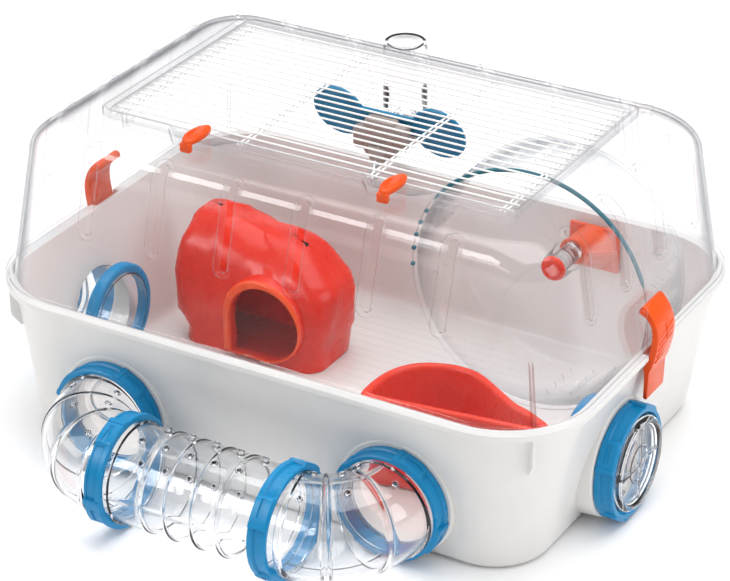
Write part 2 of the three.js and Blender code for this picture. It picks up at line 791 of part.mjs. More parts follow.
// ---------------------------------------------------------------- drinking bottle
function bottleBody() {
  const { x, y, z0, z1, r } = BOTTLE;
  return turned(
    [
      [4, z0],
      [9, z0],
      [r, z0 + 6],
      [r, z1 - 3],
      [r - 1.5, z1],
      [0, z1],
      [0, z1 - 2],
      [r - 2.2, z1 - 4],
      [r - 2.2, z0 + 8],
      [4, z0 + 4],
      [4, z0],
    ],
    [x, y, 0],
    [0, 0, 1],
    20,
  );
}

// A point on the spout's axis, at a distance up from its tip.
function spoutPoint(distance) {
  const [x, y, z] = SPOUT.tip;
  return [x, y + distance * Math.sin(SPOUT.lean), z + distance * Math.cos(SPOUT.lean)];
}

// The grey screw cap below the bottle, with its arm through the lid's back wall.
function nozzleBody() {
  const { x, y, z0 } = BOTTLE;
  const { z, armR, cupR, blockY0, blockY1 } = NOZZLE;
  const middleY = (blockY0 + blockY1) / 2;
  const cup = rod([x, y, z0 - 16], [x, y, z0 - GAP], cupR, 16);
  const arm = rod([x, y - 2, z], [x, middleY, z], armR, 12);
  const block = box([x - 21, blockY0, z - 5], [x + 21, blockY1, z + 22]);
  const neck = rod(spoutPoint(SPOUT.length - 2), spoutPoint(SPOUT.neck), 8, 12, 5.5);
  const socket = rod(SPOUT.tip, spoutPoint(SPOUT.length + 1), SPOUT.r + GAP, 12);
  return join([cup, arm, block, neck]).subtract(socket);
}

function spoutBody() {
  const tube = rod(SPOUT.tip, spoutPoint(SPOUT.length), SPOUT.r, 12);
  const bore = rod(spoutPoint(-2), spoutPoint(SPOUT.length + 2), 1.8, 8);
  return cut(tube, [bore, ball(SPOUT.tip, 2.9)]);
}

// Two round blue wings on a bar that lies against the inside of the leaning wall.
function holderBody() {
  const { z, discX, discR, thick } = HOLDER;
  const discs = [-discX, discX].map((x) => rod([x, 0, 0], [x, -thick, 0], discR, 24));
  const bar = box([-discX, -thick, -8], [discX, 0, 8]);
  const lean = THREE.MathUtils.radToDeg(Math.atan(LEAN_Y));
  const wallY = RIM_Y - insetY(z) - LID_T - 0.6;
  return join([...discs, bar])
    .rotate([lean, 0, 0])
    .translate([BOTTLE.x, wallY, z]);
}

// ---------------------------------------------------------------- assembly
const ringPlaces = {
  ring_front_left: [[-FRONT_PORT_X, FRONT_BOSS_Y - GAP, PORT_Z], [0, -1, 0]],
  ring_front_right: [[FRONT_PORT_X, FRONT_BOSS_Y - GAP, PORT_Z], [0, -1, 0]],
  ring_tube_left: [[-RUN_END_X + RING_W / 2, RUN_Y, PORT_Z], [-1, 0, 0]],
  ring_tube_right: [[RUN_END_X - RING_W / 2, RUN_Y, PORT_Z], [1, 0, 0]],
  ring_side_left: [[-SIDE_BOSS_X - GAP, SIDE_PORT_Y, PORT_Z], [-1, 0, 0]],
  ring_side_right: [[SIDE_BOSS_X + GAP, SIDE_PORT_Y, PORT_Z], [1, 0, 0]],
};

const group = new THREE.Group();
const add = (name, body, material) => group.add(part(name, body, material));

add("base_tray", trayBody(), plastic(WHITE, 0.4));
add("lid_dome", lidBody(), clear());
add("door_frame", doorFrameBody(), clear());
add("wire_grille", grilleBody(), plastic(0xf4f4f2, 0.3));
add("door_latch_left", latchBody(-LATCH_X), plastic(ORANGE));
add("door_latch_right", latchBody(LATCH_X), plastic(ORANGE));
add("side_clip_left", clipBody(-1), plastic(ORANGE));
add("side_clip_right", clipBody(1), plastic(ORANGE));
add("elbow_left", elbowBody(-1), clear());
add("elbow_right", elbowBody(1), clear());
add("straight_tube", straightTubeBody(), clear());
for (const [name, [from, direction]] of Object.entries(ringPlaces)) {
  add(name, ringBody(from, direction), plastic(BLUE));
}
add("port_cap_left", capBody(-1), clear());
add("port_cap_right", capBody(1), clear());
add("wheel_drum", drumBody(), clear());
add("wheel_front_ring", frontRingBody(), plastic(TEAL));
add("wheel_hub_cap", hubCapBody(), plastic(ORANGE));
add("wheel_axle", axleBody(), clear());
add("wheel_bracket", bracketBody(), plastic(ORANGE));
add("house", houseBody(), plastic(RED_ORANGE));
add("food_bowl", bowlBody(), plastic(RED_ORANGE));
add("bottle", bottleBody(), clear());
add("bottle_nozzle", nozzleBody(), plastic(GREY));
add("bottle_holder", holderBody(), plastic(BLUE));
add("spout_tube", spoutBody(), steel());
add("spout_ball", ball(SPOUT.tip, 2.6), steel());

export default group;
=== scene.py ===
import math
from math import cos, pi, sin, tau

import bmesh
import bpy
from mathutils import Matrix, Vector, noise


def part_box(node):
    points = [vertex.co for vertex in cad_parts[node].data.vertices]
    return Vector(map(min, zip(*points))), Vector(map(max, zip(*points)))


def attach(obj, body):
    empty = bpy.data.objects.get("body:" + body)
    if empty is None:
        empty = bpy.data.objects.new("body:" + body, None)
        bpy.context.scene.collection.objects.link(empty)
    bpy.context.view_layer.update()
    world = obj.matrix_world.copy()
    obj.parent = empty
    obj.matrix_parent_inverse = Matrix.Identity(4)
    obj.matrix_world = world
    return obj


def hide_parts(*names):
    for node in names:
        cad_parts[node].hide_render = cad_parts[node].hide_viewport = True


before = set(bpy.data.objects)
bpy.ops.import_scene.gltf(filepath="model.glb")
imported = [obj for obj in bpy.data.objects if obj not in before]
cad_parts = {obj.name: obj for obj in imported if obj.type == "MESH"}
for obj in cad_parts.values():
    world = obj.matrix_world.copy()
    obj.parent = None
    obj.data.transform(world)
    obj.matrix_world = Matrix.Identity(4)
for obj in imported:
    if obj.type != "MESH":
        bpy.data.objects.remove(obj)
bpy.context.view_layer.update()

MM = 0.001
DEG = pi / 180

# Lengths are in millimetres until a mesh is made. X runs to the right, Y to the back, Z up.


# ---------------------------------------------------------------- places from the frame
def box_mm(node):
    low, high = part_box(node)
    return low / MM, high / MM


def middle_mm(node):
    low, high = box_mm(node)
    return (low + high) / 2


TRAY_HIGH = box_mm("base_tray")[1]
LID_LOW = box_mm("lid_dome")[0]
DOOR_LOW, DOOR_HIGH = box_mm("door_frame")
GRILLE_LOW, GRILLE_HIGH = box_mm("wire_grille")
RIM_X = TRAY_HIGH.x
RIM_Y = TRAY_HIGH.y
TRAY_H = TRAY_HIGH.z
PORT_Z = middle_mm("straight_tube").z
RUN_Y = middle_mm("straight_tube").y
RUN_END = box_mm("straight_tube")[1].x
FRONT_PORT_X = middle_mm("ring_front_right").x
FRONT_FACE_Y = box_mm("ring_front_right")[1].y
SIDE_PORT_Y = middle_mm("port_cap_right").y
SIDE_FACE_X = box_mm("port_cap_right")[0].x
WHEEL_LOW, WHEEL_HIGH = box_mm("wheel_drum")
WHEEL_X = (WHEEL_LOW.x + WHEEL_HIGH.x) / 2
WHEEL_Z = (WHEEL_LOW.z + WHEEL_HIGH.z) / 2
WHEEL_R = (WHEEL_HIGH.x - WHEEL_LOW.x) / 2
BOTTLE_LOW, BOTTLE_HIGH = box_mm("bottle")
BOTTLE_X = (BOTTLE_LOW.x + BOTTLE_HIGH.x) / 2
BOTTLE_Y = (BOTTLE_LOW.y + BOTTLE_HIGH.y) / 2

RIM_R = 58
FOOT_X, FOOT_Y, FOOT_R = 179, 130, 36
FLANGE = 5
FLANGE_T = 4.2
WALL = 3
FLOOR_TOP = 3
PORT_R = 28.5
PAD_R = 38
PAD_ROUND = 1.2  # rounding of a pad's rim
PORT_FLARE = 0.9  # rounding of a port's mouth
FIN_T = 2.0  # thickness of the corner fins
LID_FOOT = LID_LOW.z + 2.6
LID_T = 2.2
LEAN_X, LEAN_Y, CORNER_SHRINK = 0.156, 0.29, 0.3
SHOULDER_Z, ROOF_Z, ROOF_INSET = 184, 205, 44
SLOT_R = 3.2
SLOT_LOW, SLOT_HIGH = 150, 202
FRONT_SLOTS = (-122.5, -73.5, -24.5, 24.5, 73.5, 122.5)
SIDE_SLOTS = (-70, -23, 23, 70)
TUBE_R, TUBE_T, BEND_R = 31, 2, 40
RING_W = 12
HINGE_Y, HINGE_Z = 89, 208.5  # the roof door's hinge line
CLIP_X, CLIP_Z = 197.2, 129  # the side clips' hinge lines
CLIP_HALF = 12


# ---------------------------------------------------------------- mesh code
class Shape:
    """Points in millimetres and the faces between them."""

    def __init__(self):
        self.points = []
        self.faces = []

    def add(self, points, faces):
        base = len(self.points)
        self.points += [Vector(point) for point in points]
        self.faces += [tuple(base + index for index in face) for face in faces]
        return self

    def join(self, *others):
        for other in others:
            self.add(other.points, other.faces)
        return self

    def moved(self, matrix):
        copy = Shape()
        copy.points = [matrix @ point for point in self.points]
        copy.faces = list(self.faces)
        return copy


def loft(loops, caps=True, ring=False):
    """A skin through loops of equal length. A ring joins its last loop to its first."""
    count = len(loops[0])
    rows = len(loops)
    faces = []
    for row in range(rows if ring else rows - 1):
        below = row * count
        above = (row + 1) % rows * count
        for i in range(count):
            j = (i + 1) % count
            faces.append((below + i, below + j, above + j, above + i))
    if caps and not ring:
        faces.append(tuple(reversed(range(count))))
        faces.append(tuple(range((rows - 1) * count, rows * count)))
    return Shape().add([point for loop in loops for point in loop], faces)


def turned(profile, origin, axis, steps=72, closed=True):
    """A profile of (radius, height) turned about an axis. An open one starts and ends on it."""
    turn = Vector((0, 0, 1)).rotation_difference(Vector(axis)).to_matrix().to_4x4()
    place = Matrix.Translation(Vector(origin)) @ turn
    loops = []
    for radius, height in profile:
        loop = []
        for i in range(steps):
            angle = tau * i / steps
            loop.append(place @ Vector((radius * cos(angle), radius * sin(angle), height)))
        loops.append(loop)
    return loft(loops, caps=False, ring=closed)


def rod(start, end, radius, end_radius=None, steps=32, round_edge=0.0):
    """A rod or cone between two points, with its rims rounded."""
    start, end = Vector(start), Vector(end)
    length = (end - start).length
    end_radius = radius if end_radius is None else end_radius
    profile = [(0, 0)]
    if round_edge:
        for i in range(4):
            angle = i / 3 * pi / 2
            profile.append(
                (radius - round_edge * (1 - sin(angle)), round_edge * (1 - cos(angle)))
            )
        for i in range(4):
            angle = i / 3 * pi / 2
            profile.append(
                (
                    end_radius - round_edge * (1 - cos(angle)),
                    length - round_edge * (1 - sin(angle)),
                )
            )
    else:
        profile += [(radius, 0), (end_radius, length)]
    profile.append((0, length))
    return turned(profile, start, (end - start).normalized(), steps, closed=False)


def sweep(path, section, closed=False, across=None):
    """A section of (side, out) offsets carried along a path.

    across gives the side at each point.
    """
    count = len(path)
    loops = []
    side = None
    for i, point in enumerate(path):
        if closed:
            ahead, behind = path[(i + 1) % count], path[i - 1]
        else:
            ahead, behind = path[min(i + 1, count - 1)], path[max(i - 1, 0)]
        forward = (ahead - behind).normalized()
        if across:
            side = across[i]
        elif side is None:
            seed = Vector((0, 0, 1)) if abs(forward.z) < 0.9 else Vector((1, 0, 0))
            side = forward.cross(seed)
        side = (side - forward * side.dot(forward)).normalized()
        out = side.cross(forward)
        here = section[i] if isinstance(section[0], list) else section
        loops.append([point + side * a + out * b for a, b in here])
    return loft(loops, caps=not closed, ring=closed)


def circle(radius, steps=12):
    angles = [tau * i / steps for i in range(steps)]
    return [(radius * cos(angle), radius * sin(angle)) for angle in angles]


def block(low, high, edge=0.6):
    """A box with rounded edges."""
    low, high = Vector(low), Vector(high)
    centre = (low + high) / 2
    half = (high - low) / 2
    edge = min(edge, half.x * 0.95, half.y * 0.95, half.z * 0.95)
    loops = []
    levels = [(-half.z, edge), (-half.z + edge * 0.3, edge * 0.3), (-half.z + edge, 0)]
    levels += [(-z, inset) for z, inset in reversed(levels)]
    for z, inset in levels:
        loop = []
        radius = edge
        for corner, (sx, sy) in enumerate(((1, 1), (-1, 1), (-1, -1), (1, -1))):
            for i in range(4):
                angle = (corner + i / 3) * pi / 2
                reach = max(radius - inset, edge * 0.05)
                loop.append(
                    centre
                    + Vector(
                        (
                            sx * (half.x - radius) + reach * cos(angle),
                            sy * (half.y - radius) + reach * sin(angle),
                            z,
                        )
                    )
                )
        loops.append(loop)
    return loft(loops)


def rounded(half_x, half_y, radius, z, centre=(0, 0), steps=14, support=1.6):
    """A rounded rectangle, with a point on each straight side close to each corner."""
    loop = []
    for corner, (sx, sy) in enumerate(((1, 1), (-1, 1), (-1, -1), (1, -1))):
        middle = Vector((centre[0] + sx * (half_x - radius), centre[1] + sy * (half_y - radius), z))
        arc = []
        for i in range(steps + 1):
            angle = (corner + i / steps) * pi / 2
            arc.append(middle + radius * Vector((cos(angle), sin(angle), 0)))
        first = corner * pi / 2
        last = first + pi / 2
        loop.append(arc[0] - support * Vector((-sin(first), cos(first), 0)))
        loop += arc
        loop.append(arc[-1] + support * Vector((-sin(last), cos(last), 0)))
    return loop


def plate(outline, place, thickness):
    """A flat outline of (a, b) points given a thickness, centred on the plane of place."""
    low = [place @ Vector((a, b, -thickness / 2)) for a, b in outline]
    high = [place @ Vector((a, b, thickness / 2)) for a, b in outline]
    return loft([low, high])


def upright(outline, y0, y1):
    """An outline of (x, z) points pushed along Y."""
    return loft([[Vector((x, y, z)) for x, z in outline] for y in (y0, y1)])


def curve_points(start, handle, end, steps=8):
    """Points of a quadratic curve, without its first."""
    points = []
    for i in range(1, steps + 1):
        t = i / steps
        points.append(
            tuple(
                (1 - t) ** 2 * a + 2 * t * (1 - t) * b + t * t * c
                for a, b, c in zip(start, handle, end)
            )
        )
    return points


def new_object(name, shape):
    """A closed mesh object in metres, with its faces turned outwards."""
    mesh = bpy.data.meshes.new(name)
    mesh.from_pydata([point * MM for point in shape.points], [], shape.faces)
    work = bmesh.new()
    work.from_mesh(mesh)
    bmesh.ops.remove_doubles(work, verts=work.verts, dist=2e-6)
    bmesh.ops.dissolve_degenerate(work, edges=work.edges, dist=1e-6)
    bmesh.ops.recalc_face_normals(work, faces=work.faces)
    work.to_mesh(mesh)
    work.free()
    obj = bpy.data.objects.new(name, mesh)
    bpy.context.scene.collection.objects.link(obj)
    return obj


def apply_modifiers(obj):
    bpy.context.view_layer.update()
    graph = bpy.context.evaluated_depsgraph_get()
    mesh = bpy.data.meshes.new_from_object(obj.evaluated_get(graph))
    old = obj.data
    obj.modifiers.clear()
    obj.data = mesh
    bpy.data.meshes.remove(old)


def bevel(obj, width, segments=2):
    """Rounds the sharp edges of a mesh."""
    modifier = obj.modifiers.new("edges", "BEVEL")
    modifier.width = width * MM
    modifier.segments = segments
    modifier.limit_method = "ANGLE"
    modifier.angle_limit = 35 * DEG
    apply_modifiers(obj)


def boolean(obj, shapes, operation, edge=0.0):
    """Joins shapes to a mesh, or cuts them from it, one after another."""
    tools = []
    for shape in shapes:
        tool = new_object(obj.name + "_tool", shape)
        if edge:
            bevel(tool, edge)
        modifier = obj.modifiers.new("join", "BOOLEAN")
        modifier.operation = operation
        modifier.solver = "MANIFOLD"
        modifier.object = tool
        tools.append(tool)
    apply_modifiers(obj)
    for tool in tools:
        mesh = tool.data
        bpy.data.objects.remove(tool)
        bpy.data.meshes.remove(mesh)


def piece(obj, material, body, nodes=(), angle=38, weighted=False):
    """Finishes a mesh: smooth shading with sharp creases, material, body and CAD nodes."""
    work = bmesh.new()
    work.from_mesh(obj.data)
    bmesh.ops.dissolve_degenerate(work, edges=work.edges, dist=2e-6)
    work.to_mesh(obj.data)
    work.free()
    obj.data.shade_smooth()
    obj.data.set_sharp_from_angle(angle=angle * DEG)
    if weighted:
        modifier = obj.modifiers.new("flat_walls", "WEIGHTED_NORMAL")
        modifier.keep_sharp = True
        modifier.weight = 80
        apply_modifiers(obj)
    obj.data.materials.clear()
    obj.data.materials.append(material)
    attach(obj, body)
    if nodes:
        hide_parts(*nodes)
    return obj


# ---------------------------------------------------------------- materials
def new_material(name):
    material = bpy.data.materials.new(name)
    material.use_nodes = True
    tree = material.node_tree
    tree.nodes.clear()
    output = tree.nodes.new("ShaderNodeOutputMaterial")
    shader = tree.nodes.new("ShaderNodeBsdfPrincipled")
    place = tree.nodes.new("ShaderNodeTexCoord")
    tree.links.new(shader.outputs["BSDF"], output.inputs["Surface"])
    return material, tree, shader, place, output


def noise_node(tree, place, scale, detail=3.0, roughness=0.5):
    node = tree.nodes.new("ShaderNodeTexNoise")
    node.inputs["Scale"].default_value = scale
    node.inputs["Detail"].default_value = detail
    node.inputs["Roughness"].default_value = roughness
    tree.links.new(place.outputs["Object"], node.inputs["Vector"])
    return node


def ranged(tree, source, low, high, from_low=0.3, from_high=0.7):
    node = tree.nodes.new("ShaderNodeMapRange")
    node.inputs["From Min"].default_value = from_low
    node.inputs["From Max"].default_value = from_high
    node.inputs["To Min"].default_value = low
    node.inputs["To Max"].default_value = high
    tree.links.new(source, node.inputs["Value"])
    return node.outputs["Result"]


def bumped(tree, shader, source, strength, distance):
    node = tree.nodes.new("ShaderNodeBump")
    node.inputs["Strength"].default_value = strength
    node.inputs["Distance"].default_value = distance * MM
    tree.links.new(source, node.inputs["Height"])
    tree.links.new(node.outputs["Normal"], shader.inputs["Normal"])
    return node


def colour_blend(tree, source, low, high, from_low=0.3, from_high=0.7):
    ramp = tree.nodes.new("ShaderNodeValToRGB")
    ramp.color_ramp.elements[0].position = from_low
    ramp.color_ramp.elements[0].color = (*low, 1)
    ramp.color_ramp.elements[1].position = from_high
    ramp.color_ramp.elements[1].color = (*high, 1)
    tree.links.new(source, ramp.inputs["Fac"])
    return ramp.outputs["Color"]


def linear(hex_code):
    """A colour written as six hex digits, as linear values."""
    values = [int(hex_code[i : i + 2], 16) / 255 for i in (0, 2, 4)]
    return tuple(v / 12.92 if v <= 0.04045 else ((v + 0.055) / 1.055) ** 2.4 for v in values)


def moulded(
    name,
    colour,
    shade,
    rough,
    grain=1400,
    grain_depth=0.03,
    glow=0.0,
    coat=0.0,
    swirl=14,
    shine=0.5,
):
    """Injection moulded plastic: faint flow clouds, a fine grain and slightly uneven gloss."""
    material, tree, shader, place, _ = new_material(name)
    clouds = noise_node(tree, place, swirl, 4, 0.6)
    colours = colour_blend(tree, clouds.outputs["Fac"], linear(shade), linear(colour))
    tree.links.new(colours, shader.inputs["Base Color"])
    smears = noise_node(tree, place, 70, 3, 0.55)
    roughness = ranged(tree, smears.outputs["Fac"], rough - 0.05, rough + 0.08)
    tree.links.new(roughness, shader.inputs["Roughness"])
    fine = noise_node(tree, place, grain, 2, 0.5)
    bumped(tree, shader, fine.outputs["Fac"], 0.35, grain_depth)
    shader.inputs["IOR"].default_value = 1.47
    shader.inputs["Specular IOR Level"].default_value = shine
    shader.inputs["Coat Weight"].default_value = coat
    shader.inputs["Coat Roughness"].default_value = 0.08
    if glow:
        shader.inputs["Subsurface Weight"].default_value = glow
        shader.inputs["Subsurface Radius"].default_value = (1.0, 0.2, 0.08)
        shader.inputs["Subsurface Scale"].default_value = 0.008
    return material


def front_band(material, y_from, y_to, colour):
    """Blends another colour into a moulded plastic where it stands furthest forward."""
    tree = material.node_tree
    shader = tree.nodes["Principled BSDF"]
    place = tree.nodes["Texture Coordinate"]
    split = tree.nodes.new("ShaderNodeSeparateXYZ")
    tree.links.new(place.outputs["Object"], split.inputs["Vector"])
    share = ranged(tree, split.outputs["Y"], 1.0, 0.0, y_from * MM, y_to * MM)
    mix = tree.nodes.new("ShaderNodeMix")
    mix.data_type = "RGBA"
    factor, first, second, result = mix.inputs[0], mix.inputs[6], mix.inputs[7], mix.outputs[2]
    second.default_value = (*linear(colour), 1)
    below = shader.inputs["Base Color"].links[0].from_socket
    tree.links.new(share, factor)
    tree.links.new(below, first)
    tree.links.new(result, shader.inputs["Base Color"])


def clear_tint(tree, place, tint):
    """A clear plastic's colour, a little darker in slow clouds."""
    clouds = noise_node(tree, place, 9, 3, 0.5)
    darker = tuple(c * 0.975 for c in tint)
    return colour_blend(tree, clouds.outputs["Fac"], darker, tint)


def pass_lamps(tree, surface, output, share):
    """Lets the lamps shine through a clear surface."""
    lamps = tree.nodes.new("ShaderNodeBsdfTransparent")
    lamps.inputs["Color"].default_value = (share, share, min(1, share + 0.01), 1)
    path = tree.nodes.new("ShaderNodeLightPath")
    mix = tree.nodes.new("ShaderNodeMixShader")
    tree.links.new(path.outputs["Is Shadow Ray"], mix.inputs["Fac"])
    tree.links.new(surface, mix.inputs[1])
    tree.links.new(lamps.outputs["BSDF"], mix.inputs[2])
    tree.links.new(mix.outputs["Shader"], output.inputs["Surface"])


def thick_clear(name, tint):
    """Clear polystyrene that bends what is seen through it, and lets the lamps through."""
    material, tree, shader, place, output = new_material(name)
    shader.inputs["Transmission Weight"].default_value = 1.0
    shader.inputs["IOR"].default_value = 1.5
    tree.links.new(clear_tint(tree, place, tint), shader.inputs["Base Color"])
    haze = noise_node(tree, place, 45, 4, 0.6)
    tree.links.new(
        ranged(tree, haze.outputs["Fac"], 0.012, 0.054), shader.inputs["Roughness"]
    )
    ripple = noise_node(tree, place, 60, 1, 0.4)
    bumped(tree, shader, ripple.outputs["Fac"], 0.3, 0.2)
    pass_lamps(tree, shader.outputs["BSDF"], output, 0.92)
    return material


def thin_clear(name, tint, edge, rough=0.04, gloss=0.85, waves=22, wave_depth=0.25):
    """A thin clear wall: rays pass straight on, its edges get a painted grey shade, and it mirrors
    at a slant.
    """
    material, tree, shader, place, output = new_material(name)
    shader.inputs["Metallic"].default_value = 1.0
    tree.links.new(clear_tint(tree, place, tint), shader.inputs["Base Color"])
    haze = noise_node(tree, place, 45, 4, 0.6)
    tree.links.new(
        ranged(tree, haze.outputs["Fac"], rough * 0.5, rough * 2), shader.inputs["Roughness"]
    )
    ripple = noise_node(tree, place, waves, 1, 0.4)
    bump = bumped(tree, shader, ripple.outputs["Fac"], 0.3, wave_depth)
    facing = tree.nodes.new("ShaderNodeLayerWeight")
    facing.inputs["Blend"].default_value = 0.5
    tree.links.new(bump.outputs["Normal"], facing.inputs["Normal"])
    straight = tree.nodes.new("ShaderNodeBsdfTransparent")
    # Painted shade: what is seen through the wall turns to the grey edge colour where the wall is
    # seen at a slant.
    passed_with_painted_edge_shade = colour_blend(tree, facing.outputs["Facing"], tint, edge, 0.56, 0.9)
    tree.links.new(passed_with_painted_edge_shade, straight.inputs["Color"])
    slant = tree.nodes.new("ShaderNodeMath")
    slant.operation = "POWER"
    slant.inputs[1].default_value = 4.5
    tree.links.new(facing.outputs["Facing"], slant.inputs[0])
    mirror = ranged(tree, slant.outputs["Value"], 0.03, gloss, 0.0, 1.0)
    wall = tree.nodes.new("ShaderNodeMixShader")
    tree.links.new(mirror, wall.inputs["Fac"])
    tree.links.new(straight.outputs["BSDF"], wall.inputs[1])
    tree.links.new(shader.outputs["BSDF"], wall.inputs[2])
    pass_lamps(tree, wall.outputs["Shader"], output, 0.97)
    return material


def polished_steel(name):
    material, tree, shader, place, _ = new_material(name)
    shader.inputs["Metallic"].default_value = 1.0
    streaks = noise_node(tree, place, 160, 4, 0.6)
    colours = colour_blend(tree, streaks.outputs["Fac"], (0.55, 0.55, 0.56), (0.72, 0.72, 0.73))
    tree.links.new(colours, shader.inputs["Base Color"])
    tree.links.new(ranged(tree, streaks.outputs["Fac"], 0.12, 0.3), shader.inputs["Roughness"])
    bumped(tree, shader, streaks.outputs["Fac"], 0.2, 0.02)
    return material


WHITE = moulded("white_tray_plastic", "e4e2df", "dddbd8", 0.34, grain=1100, grain_depth=0.03)
# (0.34, 0.35, 0.38) is the painted grey shade at the lid's edges.
CLEAR = thin_clear("clear_lid_plastic", (0.99, 0.99, 0.992), (0.34, 0.35, 0.38))
CLEAR_THICK = thick_clear("clear_thick_plastic", (0.985, 0.99, 0.995))
# (0.5, 0.53, 0.56) is the painted grey shade at the wheel's edges.
CLEAR_WHEEL = thin_clear(
    "clear_wheel_plastic", (0.992, 0.994, 0.996), (0.5, 0.53, 0.56), 0.05, 0.6, 40, 0.2
)
WIRE = moulded(
    "white_wire_coating", "f6f6f4", "ececea", 0.28, grain=2400, grain_depth=0.05, coat=0.3
)
ORANGE = moulded("orange_plastic", "ea5408", "de4a04", 0.3, glow=0.1, shine=0.35)
HOUSE_RED = moulded(
    "house_plastic", "ea2a06", "d62004", 0.26, glow=0.22, coat=0.1, swirl=22, shine=0.35
)
HUB_RED = moulded("hub_plastic", "ee3c10", "e03008", 0.26, glow=0.2, shine=0.35)
BOWL_ORANGE = moulded("bowl_plastic", "ee3406", "e02a04", 0.26, glow=0.2, coat=0.1, shine=0.35)
BLUE = moulded("blue_plastic", "0287bd", "027aae", 0.3, glow=0.05, shine=0.35)
WING_BLUE = moulded("wing_plastic", "2a86b0", "2078a0", 0.3, shine=0.35)
TEAL = moulded("teal_plastic", "1f6f80", "1a6372", 0.3, shine=0.35)
GREY = moulded("grey_plastic", "a0928c", "8e827c", 0.4, grain=900, grain_depth=0.05)
STEEL = polished_steel("polished_steel")


# ---------------------------------------------------------------- tray
def tray_loop(z, inset=0.0):
    t = z / (TRAY_H - FLANGE_T)
    half_x = FOOT_X + (RIM_X - FLANGE - FOOT_X) * t
    half_y = FOOT_Y + (RIM_Y - FLANGE - FOOT_Y) * t
    radius = FOOT_R + (RIM_R - FLANGE - FOOT_R) * t
    return rounded(half_x - inset, half_y - inset, radius - inset, z)


def rim_loop(z, inset=0.0):
    return rounded(RIM_X - inset, RIM_Y - inset, RIM_R - inset, z)


def corner_plates(outline):
    """Upright plates on the four corners, drawn as (reach, height) from the corner's centre."""
    plates = []
    for sx in (-1, 1):
        for sy in (-1, 1):
            reach = Vector((sx, sy, 0)).normalized()
            side = Vector((0, 0, 1)).cross(reach)
            place = Matrix((reach, (0, 0, 1), side)).transposed().to_4x4()
            place.translation = Vector((sx * (RIM_X - RIM_R), sy * (RIM_Y - RIM_R), 0))
            plates.append(plate(outline, place, FIN_T))
    return plates


def clip_notches(z0, z1):
    notches = []
    for side in (-1, 1):
        xs = sorted((side * 197.8, side * (RIM_X + 3)))
        notches.append(block((xs[0], -13, z0), (xs[1], 13, z1), 1.0))
    return notches


def pad(centre, axis, depth):
    """The flat round pad about a port, with a rounded rim. centre is in its outer face."""
    profile = [(0, 0)]
    for i in range(5):
        angle = i / 4 * pi / 2
        reach = PAD_R - PAD_ROUND * (1 - sin(angle))
        profile.append((reach, PAD_ROUND * (1 - cos(angle))))
    profile += [(PAD_R + 1.0, depth), (0, depth)]
    return turned(profile, centre, axis, 96, closed=False)


def bore(centre, axis, depth):
    """A cutter for a port, wider at its mouth. centre is in the outer face, axis points in."""
    mouth = PORT_R + PORT_FLARE
    profile = [(0, -4), (mouth, -4), (mouth, 0)]
    for i in range(5):
        angle = i / 4 * pi / 2
        reach = PORT_R + PORT_FLARE * (1 - sin(angle))
        profile.append((reach, PORT_FLARE * (1 - cos(angle))))
    profile += [(PORT_R, depth), (0, depth)]
    return turned(profile, centre, axis, 96, closed=False)


def make_tray():
    wall_top = TRAY_H - FLANGE_T
    loops = [tray_loop(0, 5.2), tray_loop(0.5, 3.0), tray_loop(1.6, 1.2), tray_loop(3.4, 0.2)]
    loops += [tray_loop(5.5, 0), tray_loop(30), tray_loop(60), tray_loop(wall_top - 4)]
    loops += [tray_loop(wall_top - 1.2, -0.1), rim_loop(wall_top - 0.2, 4.0)]
    loops += [rim_loop(wall_top - 0.2, 1.0), rim_loop(wall_top + 0.1, 0.3)]
    loops += [rim_loop(wall_top + 0.9, 0)]
    loops += [rim_loop(TRAY_H - 1.0, 0), rim_loop(TRAY_H - 0.3, 0.3), rim_loop(TRAY_H, 1.0)]
    tray = new_object("tray_shell", loft(loops))
    cavity = [tray_loop(FLOOR_TOP, 11), tray_loop(FLOOR_TOP + 0.5, 8), tray_loop(FLOOR_TOP + 2, 5)]
    cavity += [tray_loop(FLOOR_TOP + 5, 3.4), tray_loop(FLOOR_TOP + 9, WALL), tray_loop(60, WALL)]
    cavity += [tray_loop(TRAY_H - 1, WALL), tray_loop(TRAY_H + 2, WALL - 0.6)]
    face_y = FRONT_FACE_Y + 0.3
    pads = [pad((x, face_y, PORT_Z + 1), (0, 1, 0), 12) for x in (-FRONT_PORT_X, FRONT_PORT_X)]
    bores = [bore((x, face_y, PORT_Z), (0, 1, 0), 30) for x in (-FRONT_PORT_X, FRONT_PORT_X)]
    for side in (-1, 1):
        face_x = side * (SIDE_FACE_X - 0.3)
        pads.append(pad((face_x, SIDE_PORT_Y, PORT_Z + 1), (-side, 0, 0), 16))
        bores.append(bore((face_x, SIDE_PORT_Y, PORT_Z), (-side, 0, 0), 30))
    fin = [(40, 70), (49, 70), (51, 70.6), (56, 77.5), (56.8, 80), (57, wall_top + 1)]
    fin += [(40, wall_top + 1)]
    boolean(tray, pads, "UNION")
    boolean(tray, corner_plates(fin), "UNION", edge=0.5)
    boolean(tray, [loft(cavity)] + bores, "DIFFERENCE")
    boolean(tray, clip_notches(wall_top - 1, TRAY_H + 3), "DIFFERENCE")
    boolean(tray, [block((-250, -250, -20), (250, 250, 0), 0.1)], "DIFFERENCE")
    ribs = []
    for i in range(-13, 14):
        y = i * 8.5
        ribs.append(block((-163, y - 0.7, FLOOR_TOP - 0.6), (163, y + 0.7, FLOOR_TOP + 0.14), 0.12))
    boolean(tray, [Shape().join(*ribs)], "UNION")
    piece(tray, WHITE, "tray", ["base_tray"], weighted=True)


# ---------------------------------------------------------------- lid
def inset_at(z, lean):
    return 5 + lean * (z - LID_FOOT)


